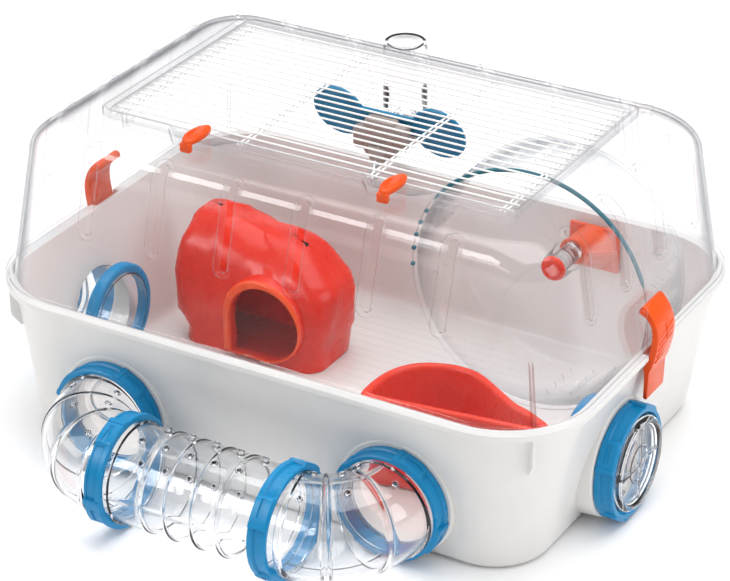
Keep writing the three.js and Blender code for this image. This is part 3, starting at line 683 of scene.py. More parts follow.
def lid_loop(z, thickness=0.0, turn=0.0):
    """The lid's outline at a height of its wall, or at an angle of its rounded shoulder."""
    wall_z = z if turn == 0 else SHOULDER_Z
    rise = (ROOF_Z - SHOULDER_Z - thickness) * sin(turn)
    round_in = 1 - cos(turn)
    along_x = inset_at(wall_z, LEAN_X)
    along_y = inset_at(wall_z, LEAN_Y)
    along_x += (ROOF_INSET - along_x) * round_in + thickness * (1 - round_in)
    along_y += (ROOF_INSET - along_y) * round_in + thickness * (1 - round_in)
    radius = RIM_R - 4 - CORNER_SHRINK * (wall_z - LID_FOOT)
    radius = radius - thickness * (1 - round_in) - 6 * round_in
    return rounded(RIM_X - along_x, RIM_Y - along_y, radius, wall_z + rise)


def lid_walls(z0, thickness):
    loops = [lid_loop(z, thickness) for z in (z0, 125, 150, 175, SHOULDER_Z)]
    loops += [lid_loop(0, thickness, i / 12 * pi / 2) for i in range(1, 13)]
    return loops


class WallLine:
    """The upright section of a lid wall, measured along the surface."""

    def __init__(self, lean, half, place):
        self.half = half
        self.place = place
        self.points = [(inset_at(z, lean), z) for z in range(105, SHOULDER_Z + 1)]
        low = inset_at(SHOULDER_Z, lean)
        for i in range(1, 25):
            turn = i / 24 * pi / 2
            inset = low + (ROOF_INSET - low) * (1 - cos(turn))
            self.points.append((inset, SHOULDER_Z + (ROOF_Z - SHOULDER_Z) * sin(turn)))
        self.lengths = [0.0]
        for a, b in zip(self.points, self.points[1:]):
            self.lengths.append(self.lengths[-1] + math.dist(a, b))

    def distance_at(self, z):
        for a, b, length in zip(self.points, self.points[1:], self.lengths):
            if b[1] >= z:
                return length + (z - a[1]) / (b[1] - a[1]) * math.dist(a, b)

    def at(self, along, distance):
        """The surface point and its outward normal."""
        for i, length in enumerate(self.lengths[1:]):
            if length >= distance or i == len(self.points) - 2:
                break
        a, b = self.points[i], self.points[i + 1]
        share = (distance - self.lengths[i]) / math.dist(a, b)
        inset = a[0] + (b[0] - a[0]) * share
        z = a[1] + (b[1] - a[1]) * share
        normal = Vector((b[1] - a[1], 0, b[0] - a[0])).normalized()
        point = Vector((self.half - inset, along, z))
        return self.place @ point, (self.place.to_3x3() @ normal).normalized()


def wall_slots(line, along):
    """A slot's raised bead and its cutter."""
    low, high = line.distance_at(SLOT_LOW), line.distance_at(SLOT_HIGH)
    bead_r = SLOT_R + 1.75
    path, sides = [], []
    steps = 12
    outline = []
    for i in range(steps + 1):
        angle = pi * i / steps
        outline.append((bead_r * cos(angle), high - SLOT_R + bead_r * sin(angle)))
    for i in range(1, 14):
        share = i / 14
        outline.append((-bead_r, (high - SLOT_R) * (1 - share) + (low + SLOT_R) * share))
    for i in range(steps + 1):
        angle = pi * (1 + i / steps)
        outline.append((bead_r * cos(angle), low + SLOT_R + bead_r * sin(angle)))
    for i in range(1, 14):
        share = i / 14
        outline.append((bead_r, (low + SLOT_R) * (1 - share) + (high - SLOT_R) * share))
    for u, s in outline:
        point, normal = line.at(along + u, s)
        path.append(point + normal * 0.15)
        sides.append(normal)
    bead = sweep(path, circle(1.75, 12), closed=True, across=sides)
    stations = []
    for i in range(7):
        angle = i / 6 * pi / 2
        stations.append((low + SLOT_R * (1 - cos(angle)), max(0.2, SLOT_R * sin(angle))))
    for i in range(1, 12):
        stations.append((low + SLOT_R + (high - low - 2 * SLOT_R) * i / 12, SLOT_R))
    for i in range(6, -1, -1):
        angle = i / 6 * pi / 2
        stations.append((high - SLOT_R * (1 - cos(angle)), max(0.2, SLOT_R * sin(angle))))
    loops = []
    for s, width in stations:
        left, normal = line.at(along - width, s)
        right, _ = line.at(along + width, s)
        loops.append([left - normal * 4, right - normal * 4, right + normal * 4, left + normal * 4])
    return bead, loft(loops)


def lid_slots():
    beads, cutters = [], []
    turn = lambda angle: Matrix.Rotation(angle * DEG, 4, "Z")
    for angle in (90, -90):
        line = WallLine(LEAN_Y, RIM_Y, turn(angle))
        for along in FRONT_SLOTS:
            bead, cutter = wall_slots(line, along)
            beads.append(bead)
            cutters.append(cutter)
    for angle in (0, 180):
        line = WallLine(LEAN_X, RIM_X, turn(angle))
        for along in SIDE_SLOTS:
            bead, cutter = wall_slots(line, along if angle == 0 else -along)
            beads.append(bead)
            cutters.append(cutter)
    return beads, cutters


def hinge_lugs():
    lugs = []
    for side in (-1, 1):
        xs = sorted((side * 145.5, side * 151.5))
        outline = [(-4, ROOF_Z - 1), (4, ROOF_Z - 1)]
        for i in range(13):
            angle = pi * i / 12
            outline.append((4 * cos(angle), 208.3 + 4 * sin(angle)))
        loops = [[Vector((x, HINGE_Y + a, b)) for a, b in outline] for x in xs]
        lugs.append(loft(loops))
    return lugs


def clip_cheeks():
    cheeks = []
    for side in (-1, 1):
        outline = [(191, 133), (193.5, 135.2), (196.5, 135.4)]
        outline += curve_points((196.5, 135.4), (200.6, 135), (200.9, 130), 5)
        outline += [(201.2, 103.5), (196.5, 103.5)]
        for end in (-1, 1):
            y0, y1 = sorted((end * 12.5, end * 15.1))
            cheeks.append(upright([(side * x, z) for x, z in outline], y0, y1))
    return cheeks


def make_lid():
    foot = LID_LOW.z
    loops = [rim_loop(foot, 1.0), rim_loop(foot + 0.3, 0.2), rim_loop(foot + 0.7, 0)]
    loops += [rim_loop(LID_FOOT - 0.2, 0), rim_loop(LID_FOOT + 0.5, 0.4)]
    loops += [rim_loop(LID_FOOT + 0.8, 1.2)]
    loops += [rim_loop(LID_FOOT + 0.5, 2.0), rim_loop(LID_FOOT, 2.5), rim_loop(LID_FOOT, 3.6)]
    loops += [rim_loop(LID_FOOT + 0.5, 4.6)]
    loops += lid_walls(LID_FOOT + 1.6, 0)
    lid = new_object("lid_shell", loft(loops))
    fin = [(36, foot + 1), (57.4, foot + 1), (57.2, 112), (50, 140), (49, 142.4)]
    fin += [(47, 143), (36, 143)]
    boolean(lid, corner_plates(fin), "UNION", edge=0.5)
    boolean(lid, [loft([lid_loop(foot - 1, LID_T)] + lid_walls(LID_FOOT, LID_T))], "DIFFERENCE")
    beads, cutters = lid_slots()
    boolean(lid, [Shape().join(*beads)], "UNION")
    skirt = loft(
        [
            rounded(136.4, 75.4, 7, ROOF_Z - 1, (0, 6)),
            rounded(136.2, 75.2, 6.8, ROOF_Z - 9, (0, 6)),
            rounded(134.2, 73.2, 5, ROOF_Z - 9, (0, 6)),
            rounded(134, 73, 5, ROOF_Z - 1, (0, 6)),
        ],
        ring=True,
    )
    boolean(lid, [skirt], "UNION")
    boolean(lid, hinge_lugs() + clip_cheeks(), "UNION", edge=0.5)
    knob_y = -RIM_Y + 4.5
    knob = turned(
        [(0, 0), (4, 0), (4.2, 1.5), (4.0, 3.6), (3.0, 5.0), (1.6, 5.6), (1.2, 4.9), (0, 4.7)],
        (0, knob_y, foot + 1),
        (0, 0, 1),
        32,
        closed=False,
    )
    wings = block((-9, knob_y - 1.4, foot + 1), (9, knob_y + 1.4, foot + 4.2), 0.6)
    boolean(lid, [knob, wings], "UNION")
    opening = loft([rounded(134, 73, 5, z, (0, 6)) for z in (ROOF_Z - 12, ROOF_Z + 10)])
    boolean(lid, [Shape().join(*cutters)], "DIFFERENCE")
    bores = [rod((-160, HINGE_Y, HINGE_Z), (160, HINGE_Y, HINGE_Z), 1.9, steps=24)]
    for x in (-CLIP_X, CLIP_X):
        bores.append(rod((x, -20, CLIP_Z), (x, 20, CLIP_Z), 2.0, steps=24))
    bores.append(rod((BOTTLE_X, 110, 124), (BOTTLE_X, 160, 124), 6.5))
    boolean(lid, [opening], "DIFFERENCE")
    boolean(lid, clip_notches(foot - 2, LID_FOOT + 1.4), "DIFFERENCE")
    boolean(lid, bores, "DIFFERENCE")
    piece(lid, CLEAR, "lid", ["lid_dome"], weighted=True)


# ---------------------------------------------------------------- roof door
def door_outline(inset, z, bulges):
    """The door frame's outline, with the two forward bulges under the latches."""
    low_y, high_y = -78, 90
    half_y = (high_y - low_y) / 2
    centre_y = (high_y + low_y) / 2
    radius = max(8 - inset, 2.0)
    loop = []
    for corner, (sx, sy) in enumerate(((1, 1), (-1, 1), (-1, -1), (1, -1))):
        for i in range(9):
            angle = (corner + i / 8) * pi / 2
            loop.append(
                Vector(
                    (
                        sx * (145 - inset - radius) + radius * cos(angle),
                        centre_y + sy * (half_y - inset - radius) + radius * sin(angle),
                        z,
                    )
                )
            )
        if corner == 2:
            for i in range(1, 96):
                x = -136 + 272 * i / 96
                y = low_y + inset
                near = min(abs(x - 67.8), abs(x + 67.8))
                if bulges and near < 27:
                    t = min(1.0, (27 - near) / 15)
                    y -= 12 * t * t * (3 - 2 * t)
                loop.append(Vector((x, y, z)))
    return loop


def make_door():
    z0, z1 = DOOR_LOW.z, DOOR_HIGH.z
    section = [
        (0.0, z0 + 0.5, True),
        (0.0, z1 - 0.7, True),
        (0.3, z1 - 0.15, True),
        (0.9, z1, True),
        (2.0, z1, True),
        (2.4, z1 - 0.9, True),
        (3.0, z1 - 1.1, True),
        (5.6, z1 - 1.1, False),
        (6.0, z1 - 0.2, False),
        (6.5, z1, False),
        (7.5, z1, False),
        (8.0, z1 - 0.6, False),
        (8.0, z0 + 3.7, False),
        (5.1, z0 + 3.5, False),
        (5.1, z0, False),
        (0.5, z0, True),
    ]
    frame_loop = loft([door_outline(inset, z, bulge) for inset, z, bulge in section], ring=True)
    door = new_object("door_frame_shell", frame_loop)
    pegs = []
    for side in (-1, 1):
        start, end = (side * 143, HINGE_Y, HINGE_Z), (side * 151, HINGE_Y, HINGE_Z)
        pegs.append(rod(start, end, 1.5, steps=24))
    boolean(door, pegs, "UNION")
    piece(door, CLEAR, "door", ["door_frame"])


def make_grille():
    low_z = GRILLE_LOW.z
    shape = Shape()
    radius = 0.62
    for x in (-133, -45, 45, 133):
        for offset in (-2.0, 2.0):
            start = (x + offset * 0.75, GRILLE_LOW.y, low_z + radius)
            end = (x + offset * 0.75, GRILLE_HIGH.y, low_z + radius)
            shape.join(rod(start, end, radius, steps=12, round_edge=0.35))
    count = 21
    first, last = GRILLE_LOW.y + 1.5, GRILLE_HIGH.y - 1.5
    for i in range(count):
        y = first + (last - first) * i / (count - 1)
        z = low_z + 1.35 + radius
        start, end = (GRILLE_LOW.x, y, z), (GRILLE_HIGH.x, y, z)
        shape.join(rod(start, end, radius, steps=12, round_edge=0.35))
    grille = new_object("grille_wires", shape)
    piece(grille, WIRE, "door", ["wire_grille"], angle=60)


def make_latch(side):
    name = "left" if side < 0 else "right"
    low, high = box_mm("door_latch_" + name)
    centre = Vector(((low.x + high.x) / 2, -84.5, DOOR_HIGH.z + 0.3))
    profile = [(0.86, 0), (0.96, 0.3), (1.0, 1.0), (1.0, 2.2), (0.96, 3.1), (0.88, 3.5)]
    profile += [(0.78, 3.3), (0.68, 2.6), (0.58, 1.7), (0.4, 1.4), (0.2, 1.35), (0.0, 1.3)]
    loops = []
    for scale, z in profile:
        loop = []
        for i in range(48):
            angle = tau * i / 48
            x = 5.5 * scale * cos(angle)
            y = 13.5 * (scale - (1 - scale) * 0.2) * sin(angle) if scale else 0
            curl = 0.5 * (y / 13.5) ** 2 if z > 0.9 else 0
            x += 1.0 * (y / 13.5) ** 2
            loop.append(centre + Vector((x - 0.5, y, z + curl)))
        loops.append(loop)
    shape = loft(loops, caps=False)
    shape.faces.append(tuple(range(48)))
    latch = new_object("door_latch_piece_" + name, shape)
    nose_low = (centre.x - 3.6, -98.2, ROOF_Z + 1.2)
    nose = block(nose_low, (centre.x + 3.6, -94.2, centre.z + 1.8), 0.9)
    boolean(latch, [nose], "UNION")
    piece(latch, ORANGE, "latch_" + name, ["door_latch_" + name], angle=50)


# ---------------------------------------------------------------- side clips
def make_clip(side):
    name = "left" if side < 0 else "right"
    x, z = CLIP_X, CLIP_Z
    outline = []
    for i in range(9):
        angle = pi / 2 + pi / 2 * i / 8
        outline.append((x + 2.9 * cos(angle), z + 2.9 * sin(angle)))
    outline.append((x - 2.9, z - 1.5))
    outline += curve_points((x - 2.9, z - 1.5), (203.2, 124), (203.4, 114), 10)
    outline += curve_points((203.4, 114), (203.2, 103), (199.6, 93), 10)
    outline += [(198.4, 90.5), (199.0, 88), (199.4, 86), (199.2, 71), (199.6, 70.2), (201.0, 69.8)]
    outline += [(201.8, 70.4), (202.4, 88)]
    outline += curve_points((202.4, 88), (207.6, 101), (207.4, 113.5), 14)
    outline += curve_points((207.4, 113.5), (206.5, 124), (x + 1, z + 2.9), 14)
    strap = upright([(side * a, b) for a, b in outline], -CLIP_HALF, CLIP_HALF)
    clip = new_object("side_clip_strap_" + name, strap)
    bevel(clip, 0.7, 3)
    ribs = []
    for i in range(5):
        level = 97.5 + 4.2 * i
        reach = 202.4 + (206.9 - 202.4) * min(1, (level - 88) / 20) ** 0.75
        start = (side * reach, -9.6, level - 2.2)
        end = (side * reach, 9.6, level + 2.2)
        ribs.append(rod(start, end, 0.85, steps=16, round_edge=0.4))
    boolean(clip, ribs, "UNION")
    groove = [rod((side * 208.3, 0, 106), (side * 206.6, 0, 123), 1.0, steps=16)]
    boolean(clip, groove, "DIFFERENCE")
    pegs = [rod((side * x, -13.7, z), (side * x, 13.7, z), 1.6, steps=24, round_edge=0.4)]
    boolean(clip, pegs, "UNION")
    piece(clip, ORANGE, "clip_" + name, ["side_clip_" + name])


# ---------------------------------------------------------------- tubes
def elbow_point(side, distance, lead, bend):
    inner = FRONT_PORT_X - BEND_R
    start_y = RUN_Y + BEND_R
    if distance <= lead:
        point = Vector((FRONT_PORT_X, FRONT_FACE_Y - distance, PORT_Z))
        forward = Vector((0, -1, 0))
    elif distance <= lead + bend:
        angle = (distance - lead) / BEND_R
        point = Vector((inner + BEND_R * cos(angle), start_y - BEND_R * sin(angle), PORT_Z))
        forward = Vector((-sin(angle), -cos(angle), 0))
    else:
        point = Vector((inner - (distance - lead - bend), RUN_Y, PORT_Z))
        forward = Vector((-1, 0, 0))
    point.x *= side
    forward.x *= side
    return point, forward


def rib_stations(length, ribs, collars, plain):
    """(distance, extra radius) down a tube, with thin hoops and wider end collars."""
    stations = [(length * i / plain, 0.0) for i in range(plain + 1)]
    for at in ribs:
        stations = [s for s in stations if abs(s[0] - at) > 1.5]
        stations += [(at - 1.3, 0), (at - 0.75, 0.45), (at - 0.3, 0.8), (at + 0.3, 0.8)]
        stations += [(at + 0.75, 0.45), (at + 1.3, 0)]
    for at in collars:
        stations = [s for s in stations if abs(s[0] - at) > 1.9]
        stations += [(at - 1.6, 0), (at - 1.2, 1.1), (at - 0.9, 1.5), (at + 0.9, 1.5)]
        stations += [(at + 1.2, 1.1), (at + 1.6, 0)]
    return sorted(stations)


def tube_columns(seams):
    """Angles round a tube with the extra height of its thin mould seams."""
    columns = [(tau * i / 64, 0.0) for i in range(64)]
    for seam in seams:
        columns = [c for c in columns if abs((c[0] - seam + pi) % tau - pi) > 0.05]
        columns += [(seam - 0.035, 0), (seam - 0.012, 0.35)]
        columns += [(seam + 0.012, 0.35), (seam + 0.035, 0)]
    return sorted(((a % tau, h) for a, h in columns))


def tube_shape(frames, columns, inner):
    """A pipe through (point, side, up, extra radius) frames, outside and bore as one skin."""
    loops = []
    for point, side, up, extra in frames:
        loop = []
        for angle, height in columns:
            reach = TUBE_R + max(extra, height)
            loop.append(point + side * reach * cos(angle) + up * reach * sin(angle))
        loops.append(loop)
    for point, side, up, _ in reversed(frames):
        loop = []
        for angle, _ in columns:
            loop.append(point + side * inner * cos(angle) + up * inner * sin(angle))
        loops.append(loop)
    return loft(loops, ring=True)


def vent(point, outward):
    """A small vent hole's raised ring and its drill."""
    profile = [(1.3, -1.2), (2.3, -1.2), (2.3, 0.5), (2.0, 0.9), (1.6, 0.9), (1.3, 0.5)]
    ring = turned(profile, point, outward, 16)
    return ring, rod(point - outward * 5, point + outward * 3, 1.3, steps=16)


def make_elbow(side):
    name = "left" if side < 0 else "right"
    lead = FRONT_FACE_Y - (RUN_Y + BEND_R)
    bend = BEND_R * pi / 2
    tail = FRONT_PORT_X - BEND_R - RUN_END - 0.3
    length = lead + bend + tail
    up = Vector((0, 0, 1))
    frames = []
    ribs = (lead + bend * 0.30, lead + bend * 0.66)
    collars = (lead + 1.6, length - RING_W / 2 - 1.6)
    for distance, extra in rib_stations(length, ribs, collars, 40):
        point, forward = elbow_point(side, distance, lead, bend)
        frames.append((point, forward.cross(up), up, extra))
    outer_side = 0.0 if side > 0 else pi
    columns = tube_columns((outer_side, pi / 2, pi * 3 / 2))
    elbow = new_object("elbow_tube_" + name, tube_shape(frames, columns, TUBE_R - TUBE_T))
    rings, drills = [], []
    for share, angle in ((0.14, 62), (0.14, 118), (0.46, 70), (0.5, 110), (0.84, 62), (0.84, 118)):
        point, forward = elbow_point(side, lead + bend * share, lead, bend)
        across = forward.cross(up)
        outward = across * cos(angle * DEG) + up * sin(angle * DEG)
        ring, drill = vent(point + outward * TUBE_R, outward)
        rings.append(ring)
        drills.append(drill)
    boolean(elbow, [Shape().join(*rings)], "UNION")
    boolean(elbow, [Shape().join(*drills)], "DIFFERENCE")
    piece(elbow, CLEAR_THICK, "tube_run", ["elbow_" + name], angle=45)


def make_straight_tube():
    length = 2 * RUN_END
    ribs = (length * 0.27, length * 0.42, length * 0.58, length * 0.73)
    collars = (RING_W / 2 + 1.6, length - RING_W / 2 - 1.6)
    frames = []
    for distance, extra in rib_stations(length, ribs, collars, 30):
        point = Vector((-RUN_END + distance, RUN_Y, PORT_Z))
        frames.append((point, Vector((0, -1, 0)), Vector((0, 0, 1)), extra))
    columns = tube_columns((0.0, pi))
    tube = new_object("straight_tube_shell", tube_shape(frames, columns, TUBE_R - TUBE_T))
    rings, drills = [], []
    for x in (-34, -17, 0, 17, 34):
        for angle in (48, 75, 105, 132):
            outward = Vector((0, -cos(angle * DEG), sin(angle * DEG)))
            shift = 4 if angle in (48, 105) else -4
            ring, drill = vent(Vector((x + shift, RUN_Y, PORT_Z)) + outward * TUBE_R, outward)
            rings.append(ring)
            drills.append(drill)
    boolean(tube, [Shape().join(*rings)], "UNION")
    boolean(tube, [Shape().join(*drills)], "DIFFERENCE")
    piece(tube, CLEAR_THICK, "tube_run", ["straight_tube"], angle=45)


def ring_lug(place, middle, spread, top, width0, width1):
    """A raised block along a ring's edge, ramped at its ends."""
    loops = []
    steps = 14
    for i in range(steps + 1):
        angle = (middle - spread / 2 + spread * i / steps) * DEG
        ramp = min(1.0, min(i, steps - i) / 1.5)
        reach = 33.6 + (top - 33.6) * (0.35 + 0.65 * ramp)
        section = [(33.4, width0), (reach - 0.5, width0), (reach, width0 + 0.5)]
        section += [(reach, width1 - 0.5), (reach - 0.5, width1), (33.4, width1)]
        loops.append(
            [place @ Vector((r * cos(angle), r * sin(angle), h)) for r, h in section]
        )
    return loft(loops)


def make_ring(node, body, axis, twist):
    """A blue bayonet ring: a stepped band, raised grips, and small hooked teeth."""
    low, high = box_mm(node)
    middle = Vector(((low.x + high.x) / 2, (low.y + high.y) / 2, PORT_Z))
    if abs(axis.x) > 0.5:
        middle.y = RUN_Y if "tube" in node else SIDE_PORT_Y
    else:
        middle.x = math.copysign(FRONT_PORT_X, middle.x)
    origin = middle - axis * RING_W / 2
    band = [(31.9, 0.4), (32.3, 0), (35.2, 0), (35.8, 0.5), (35.8, 3.4), (35.2, 4.1), (34.4, 4.5)]
    band += [(34.3, RING_W - 2.2), (34.9, RING_W - 1.8), (34.9, RING_W - 0.5), (34.4, RING_W)]
    band += [(32.3, RING_W), (31.9, RING_W - 0.4)]
    ring = new_object(node + "_band", turned(band, origin, axis, 96))
    up = Vector((0, 0, 1))
    across = up.cross(axis)
    place = Matrix((across, up, axis)).transposed().to_4x4()
    place.translation = origin
    lugs, teeth = [], []
    for i in range(4):
        angle = 58 + 90 * i + twist
        lugs.append(ring_lug(place, angle, 34, 36.5, 0.2, RING_W - 0.4))
        teeth.append(ring_lug(place, angle + 14, 7, 36.9, 0.1, RING_W - 0.1))
    boolean(ring, lugs, "UNION")
    boolean(ring, teeth, "UNION")
    slots = []
    for i in range(4):
        angle = (58 + 90 * i + twist - 3) * DEG
        centre = place @ Vector((36.6 * cos(angle), 36.6 * sin(angle), RING_W / 2))
        radial = (centre - middle).normalized()
        tangent = axis.cross(radial)
        turn = Matrix((tangent, axis, radial)).transposed().to_4x4()
        turn.translation = centre
        slots.append(block((-6.5, -1.6, -1.1), (6.5, 1.6, 2), 0.5).moved(turn))
    boolean(ring, slots, "DIFFERENCE")
    piece(ring, BLUE, body, [node], angle=35)


def make_collar(side):
    """The inner end of a side port: a clear sleeve through the wall, with a thick blue flange."""
    name = "left" if side < 0 else "right"
    origin = (side * (SIDE_FACE_X - 0.6), SIDE_PORT_Y, PORT_Z)
    start, end = 18.4, 26
    sleeve = [(27.3, 0.3), (27.6, 0), (28, 0), (28.2, 0.3), (28.2, end + 0.6), (27.4, end + 0.6)]
    lining = new_object("ring_side_sleeve_" + name, turned(sleeve, origin, (-side, 0, 0), 96))
    piece(lining, CLEAR_THICK, "ring_side_" + name, angle=40)
    flange = [(28.4, start + 0.6), (29, start), (33.4, start), (34, start + 0.7)]
    flange += [(34, end - 1.6), (33.2, end - 0.4), (32, end), (29.4, end), (28.4, end - 0.8)]
    collar = new_object("ring_side_collar_" + name, turned(flange, origin, (-side, 0, 0), 96))
    piece(collar, BLUE, "ring_side_" + name, angle=40)


def make_cap(side):
    name = "left" if side < 0 else "right"
    wall = TUBE_R - TUBE_T
    low, high = box_mm("port_cap_" + name)
    depth = high.x - low.x
    profile = [(wall, 0), (TUBE_R, 0), (TUBE_R, depth - 5.0), (TUBE_R - 0.2, depth - 3.4)]
    profile += [(TUBE_R - 1.2, depth - 1.2), (TUBE_R - 2.2, depth - 0.2), (TUBE_R - 3, depth)]
    profile += [(27, depth), (26, depth - 0.5), (25.4, depth - 1.6), (24.6, depth - 2)]
    profile += [(12.4, depth - 2), (12, depth - 1.5), (11, depth - 1.5), (10.6, depth - 2)]
    profile += [(0, depth - 2), (0, depth - 4), (wall - 1.5, depth - 4), (wall, depth - 5.5)]
    profile += [(wall, 0)]
    origin = (side * SIDE_FACE_X, SIDE_PORT_Y, PORT_Z)
    cap = new_object("port_cap_shell_" + name, turned(profile[:-1], origin, (side, 0, 0), 96))
    bars = []
    face = side * (SIDE_FACE_X + depth - 1.4)
    for angle in (0, 90):
        turn = Matrix.Rotation(angle * DEG, 4, "X")
        turn = Matrix.Translation((face, SIDE_PORT_Y, PORT_Z)) @ turn
        bars.append(block((-0.9, -24, -0.7), (0.9, 24, 0.7), 0.4).moved(turn))
    boolean(cap, bars, "UNION")
    piece(cap, CLEAR_THICK, "cap_" + name, ["port_cap_" + name], angle=40)


# ---------------------------------------------------------------- running wheel
def make_wheel():
    y0, y1 = WHEEL_LOW.y, WHEEL_HIGH.y
    wall = 2.0
    outer = WHEEL_R
    profile = [(outer - wall, y0 + 0.3), (outer - wall + 0.3, y0), (outer - 0.3, y0)]
    profile += [(outer, y0 + 0.4), (outer, y1 - 4), (outer - 1.2, y1 - 1.2), (outer - 4, y1)]
    profile += [(10.5, y1), (6.5, y1), (6.5, 76.2), (6.9, 76), (9.2, 76), (9.5, 76.4)]
    profile += [(9.5, y1 - 6), (11.5, y1 - 2.6), (14, y1 - wall), (outer - 5, y1 - wall)]
    profile += [(outer - 2.8, y1 - 3), (outer - wall, y1 - 5)]
    drum = new_object("wheel_drum_shell", turned(profile, (WHEEL_X, 0, WHEEL_Z), (0, 1, 0), 144))
    treads = Shape()
    count = 30
    for i in range(count):
        path, across = [], []
        for k in range(9):
            y = y0 + 4 + (y1 - y0 - 11) * k / 8
            zigzag = (1.6 if k % 2 else -1.6) * DEG
            angle = tau * i / count + zigzag
            out = Vector((cos(angle), 0, sin(angle)))
            path.append(Vector((WHEEL_X, y, WHEEL_Z)) + out * (outer - wall))
            across.append(out)
        treads.join(sweep(path, circle(0.6, 8), across=across))
    boolean(drum, [treads], "UNION")
    spokes = Shape()
    for i in range(12):
        path, across = [], []
        for k in range(10):
            radius = 13 + (outer - 17) * k / 9
            angle = tau * i / 12 + 0.35 * (k / 9) ** 1.5
            out = Vector((cos(angle), 0, sin(angle)))
            path.append(Vector((WHEEL_X, y1 - wall, WHEEL_Z)) + out * radius)
            across.append(Vector((0, 1, 0)))
        spokes.join(sweep(path, circle(0.6, 8), across=across))
    boolean(drum, [spokes], "UNION")
    piece(drum, CLEAR_WHEEL, "wheel", ["wheel_drum"], angle=42)


def make_front_ring():
    """The wheel's front rim: a clear ring, with a teal strip and short ticks on its upper part."""
    low, high = box_mm("wheel_front_ring")
    radius = (high.x - low.x) / 2
    back = [(radius - 3.2, low.y + 3.2), (radius - 2.9, low.y + 2.9), (radius - 0.4, low.y + 2.9)]
    back += [(radius - 0.1, low.y + 3.3), (radius - 0.1, high.y - 0.2)]
    back += [(radius - 3.2, high.y - 0.2)]
    clear = new_object("wheel_rim_clear", turned(back, (WHEEL_X, 0, WHEEL_Z), (0, 1, 0), 144))
    piece(clear, CLEAR_WHEEL, "wheel", angle=45)
    path, across, sections = [], [], []
    first, last, count = 16, 145, 90
    for i in range(count + 1):
        angle = (first + (last - first) * i / count) * DEG
        out = Vector((cos(angle), 0, sin(angle)))
        centre = Vector((WHEEL_X, low.y + 1.45, WHEEL_Z))
        path.append(centre + out * (radius - 1.6))
        across.append(out)
        end = min(1.0, (min(i, count - i) + 0.4) / 3)
        sections.append([(a * end, b * 0.95 * end) for a, b in circle(1.4, 12)])
    strip = sweep(path, sections, across=across)
    for degrees in (152, 159, 166, 173, 181):
        turn = Matrix.Translation((WHEEL_X, 0, WHEEL_Z)) @ Matrix.Rotation(-degrees * DEG, 4, "Y")
        tick = block((radius - 3, low.y + 0.4, -1.1), (radius - 0.4, low.y + 2.8, 1.1), 0.4)
        strip.join(tick.moved(turn))
    ring = new_object("wheel_rim_strip", strip)
    piece(ring, TEAL, "wheel", ["wheel_front_ring"], angle=45)


def make_wheel_fittings():
    centre = (WHEEL_X, 0, WHEEL_Z)
    cap = turned(
        [(0, 72.7), (8.0, 72.7), (8.5, 72.3), (8.4, 71.4), (7.4, 69.9), (5.4, 69.0), (3.4, 68.9)]
        + [(2.6, 69.3), (0, 69.4)],
        centre,
        (0, 1, 0),
        64,
        closed=False,
    )
    cap = new_object("wheel_hub_button", cap)
    piece(cap, HUB_RED, "tray", ["wheel_hub_cap"])
    axle = turned(
        [(0, 73), (5.6, 73), (6.1, 73.5), (6.1, 90), (5.7, 90.6), (5.7, 92), (6.1, 92.6)]
        + [(6.1, 111.2), (5.6, 111.7), (0, 111.7)],
        centre,
        (0, 1, 0),
        48,
        closed=False,
    )
    axle = new_object("wheel_axle_pin", axle)
    piece(axle, CLEAR_THICK, "tray", ["wheel_axle"])
    make_bracket()


def make_bracket():
    """The orange cone that carries the axle: it leans down to a plate on the back wall."""
    front, back, drop = 99, 132.8, 12
    loops = []
    for i, t in enumerate((0, 0, 0.015, 0.1, 0.25, 0.4, 0.55, 0.7, 0.8, 0.9, 1.0)):
        radius = 9.2 + 6.8 * t ** 1.3 - (8.2, 0.8, 0, 0, 0, 0, 0, 0, 0, 0, 0)[i]
        y = front + (back - front) * t + (0 if i != 2 else 0.2)
        loops.append(
            [
                Vector((WHEEL_X + radius * a, y, WHEEL_Z - drop * t + radius * b))
                for a, b in circle(1, 64)
            ]
        )
    cone = new_object("wheel_bracket_cone", loft(loops))
    foot = block((WHEEL_X - 18, 130.8, 66), (WHEEL_X + 18, 133.5, 97), 1.2)
    fins = []
    for side in (-1, 1):
        fin = [(8, 101, 0), (10, 101, 0), (17.4, 131, -drop * 0.95), (9, 131, -drop * 0.95)]
        sides = []
        for t in (-1, 1):
            sides.append([Vector((WHEEL_X + side * x, y, WHEEL_Z + z + t)) for x, y, z in fin])
        fins.append(loft(sides))
    boolean(cone, [foot] + fins, "UNION")
    boolean(cone, [rod((WHEEL_X, 90, WHEEL_Z), (WHEEL_X, 112.2, WHEEL_Z), 6.5)], "DIFFERENCE")
    piece(cone, ORANGE, "tray", ["wheel_bracket"])


# ---------------------------------------------------------------- house
HOUSE_X, HOUSE_Y = middle_mm("house").x, 36
DOOR_X, DOOR_Z, DOOR_R = -82, 34, 26
CREST = ((-162, 88), (-155, 90), (-125, 92), (-112, 88), (-100, 84.5))
CREST += ((-80, 83), (-62, 82), (-48, 76), (-36, 70))


def resampled(loop, count):
    """The same closed outline with evenly spaced points."""
    lengths = [0.0]
    closed = loop + loop[:1]
    for a, b in zip(closed, closed[1:]):
        lengths.append(lengths[-1] + (b - a).length)
    points = []
    index = 0
    for i in range(count):
        target = lengths[-1] * i / count
        while lengths[index + 1] < target:
            index += 1
        share = (target - lengths[index]) / (lengths[index + 1] - lengths[index])
        points.append(closed[index] + (closed[index + 1] - closed[index]) * share)
    return points


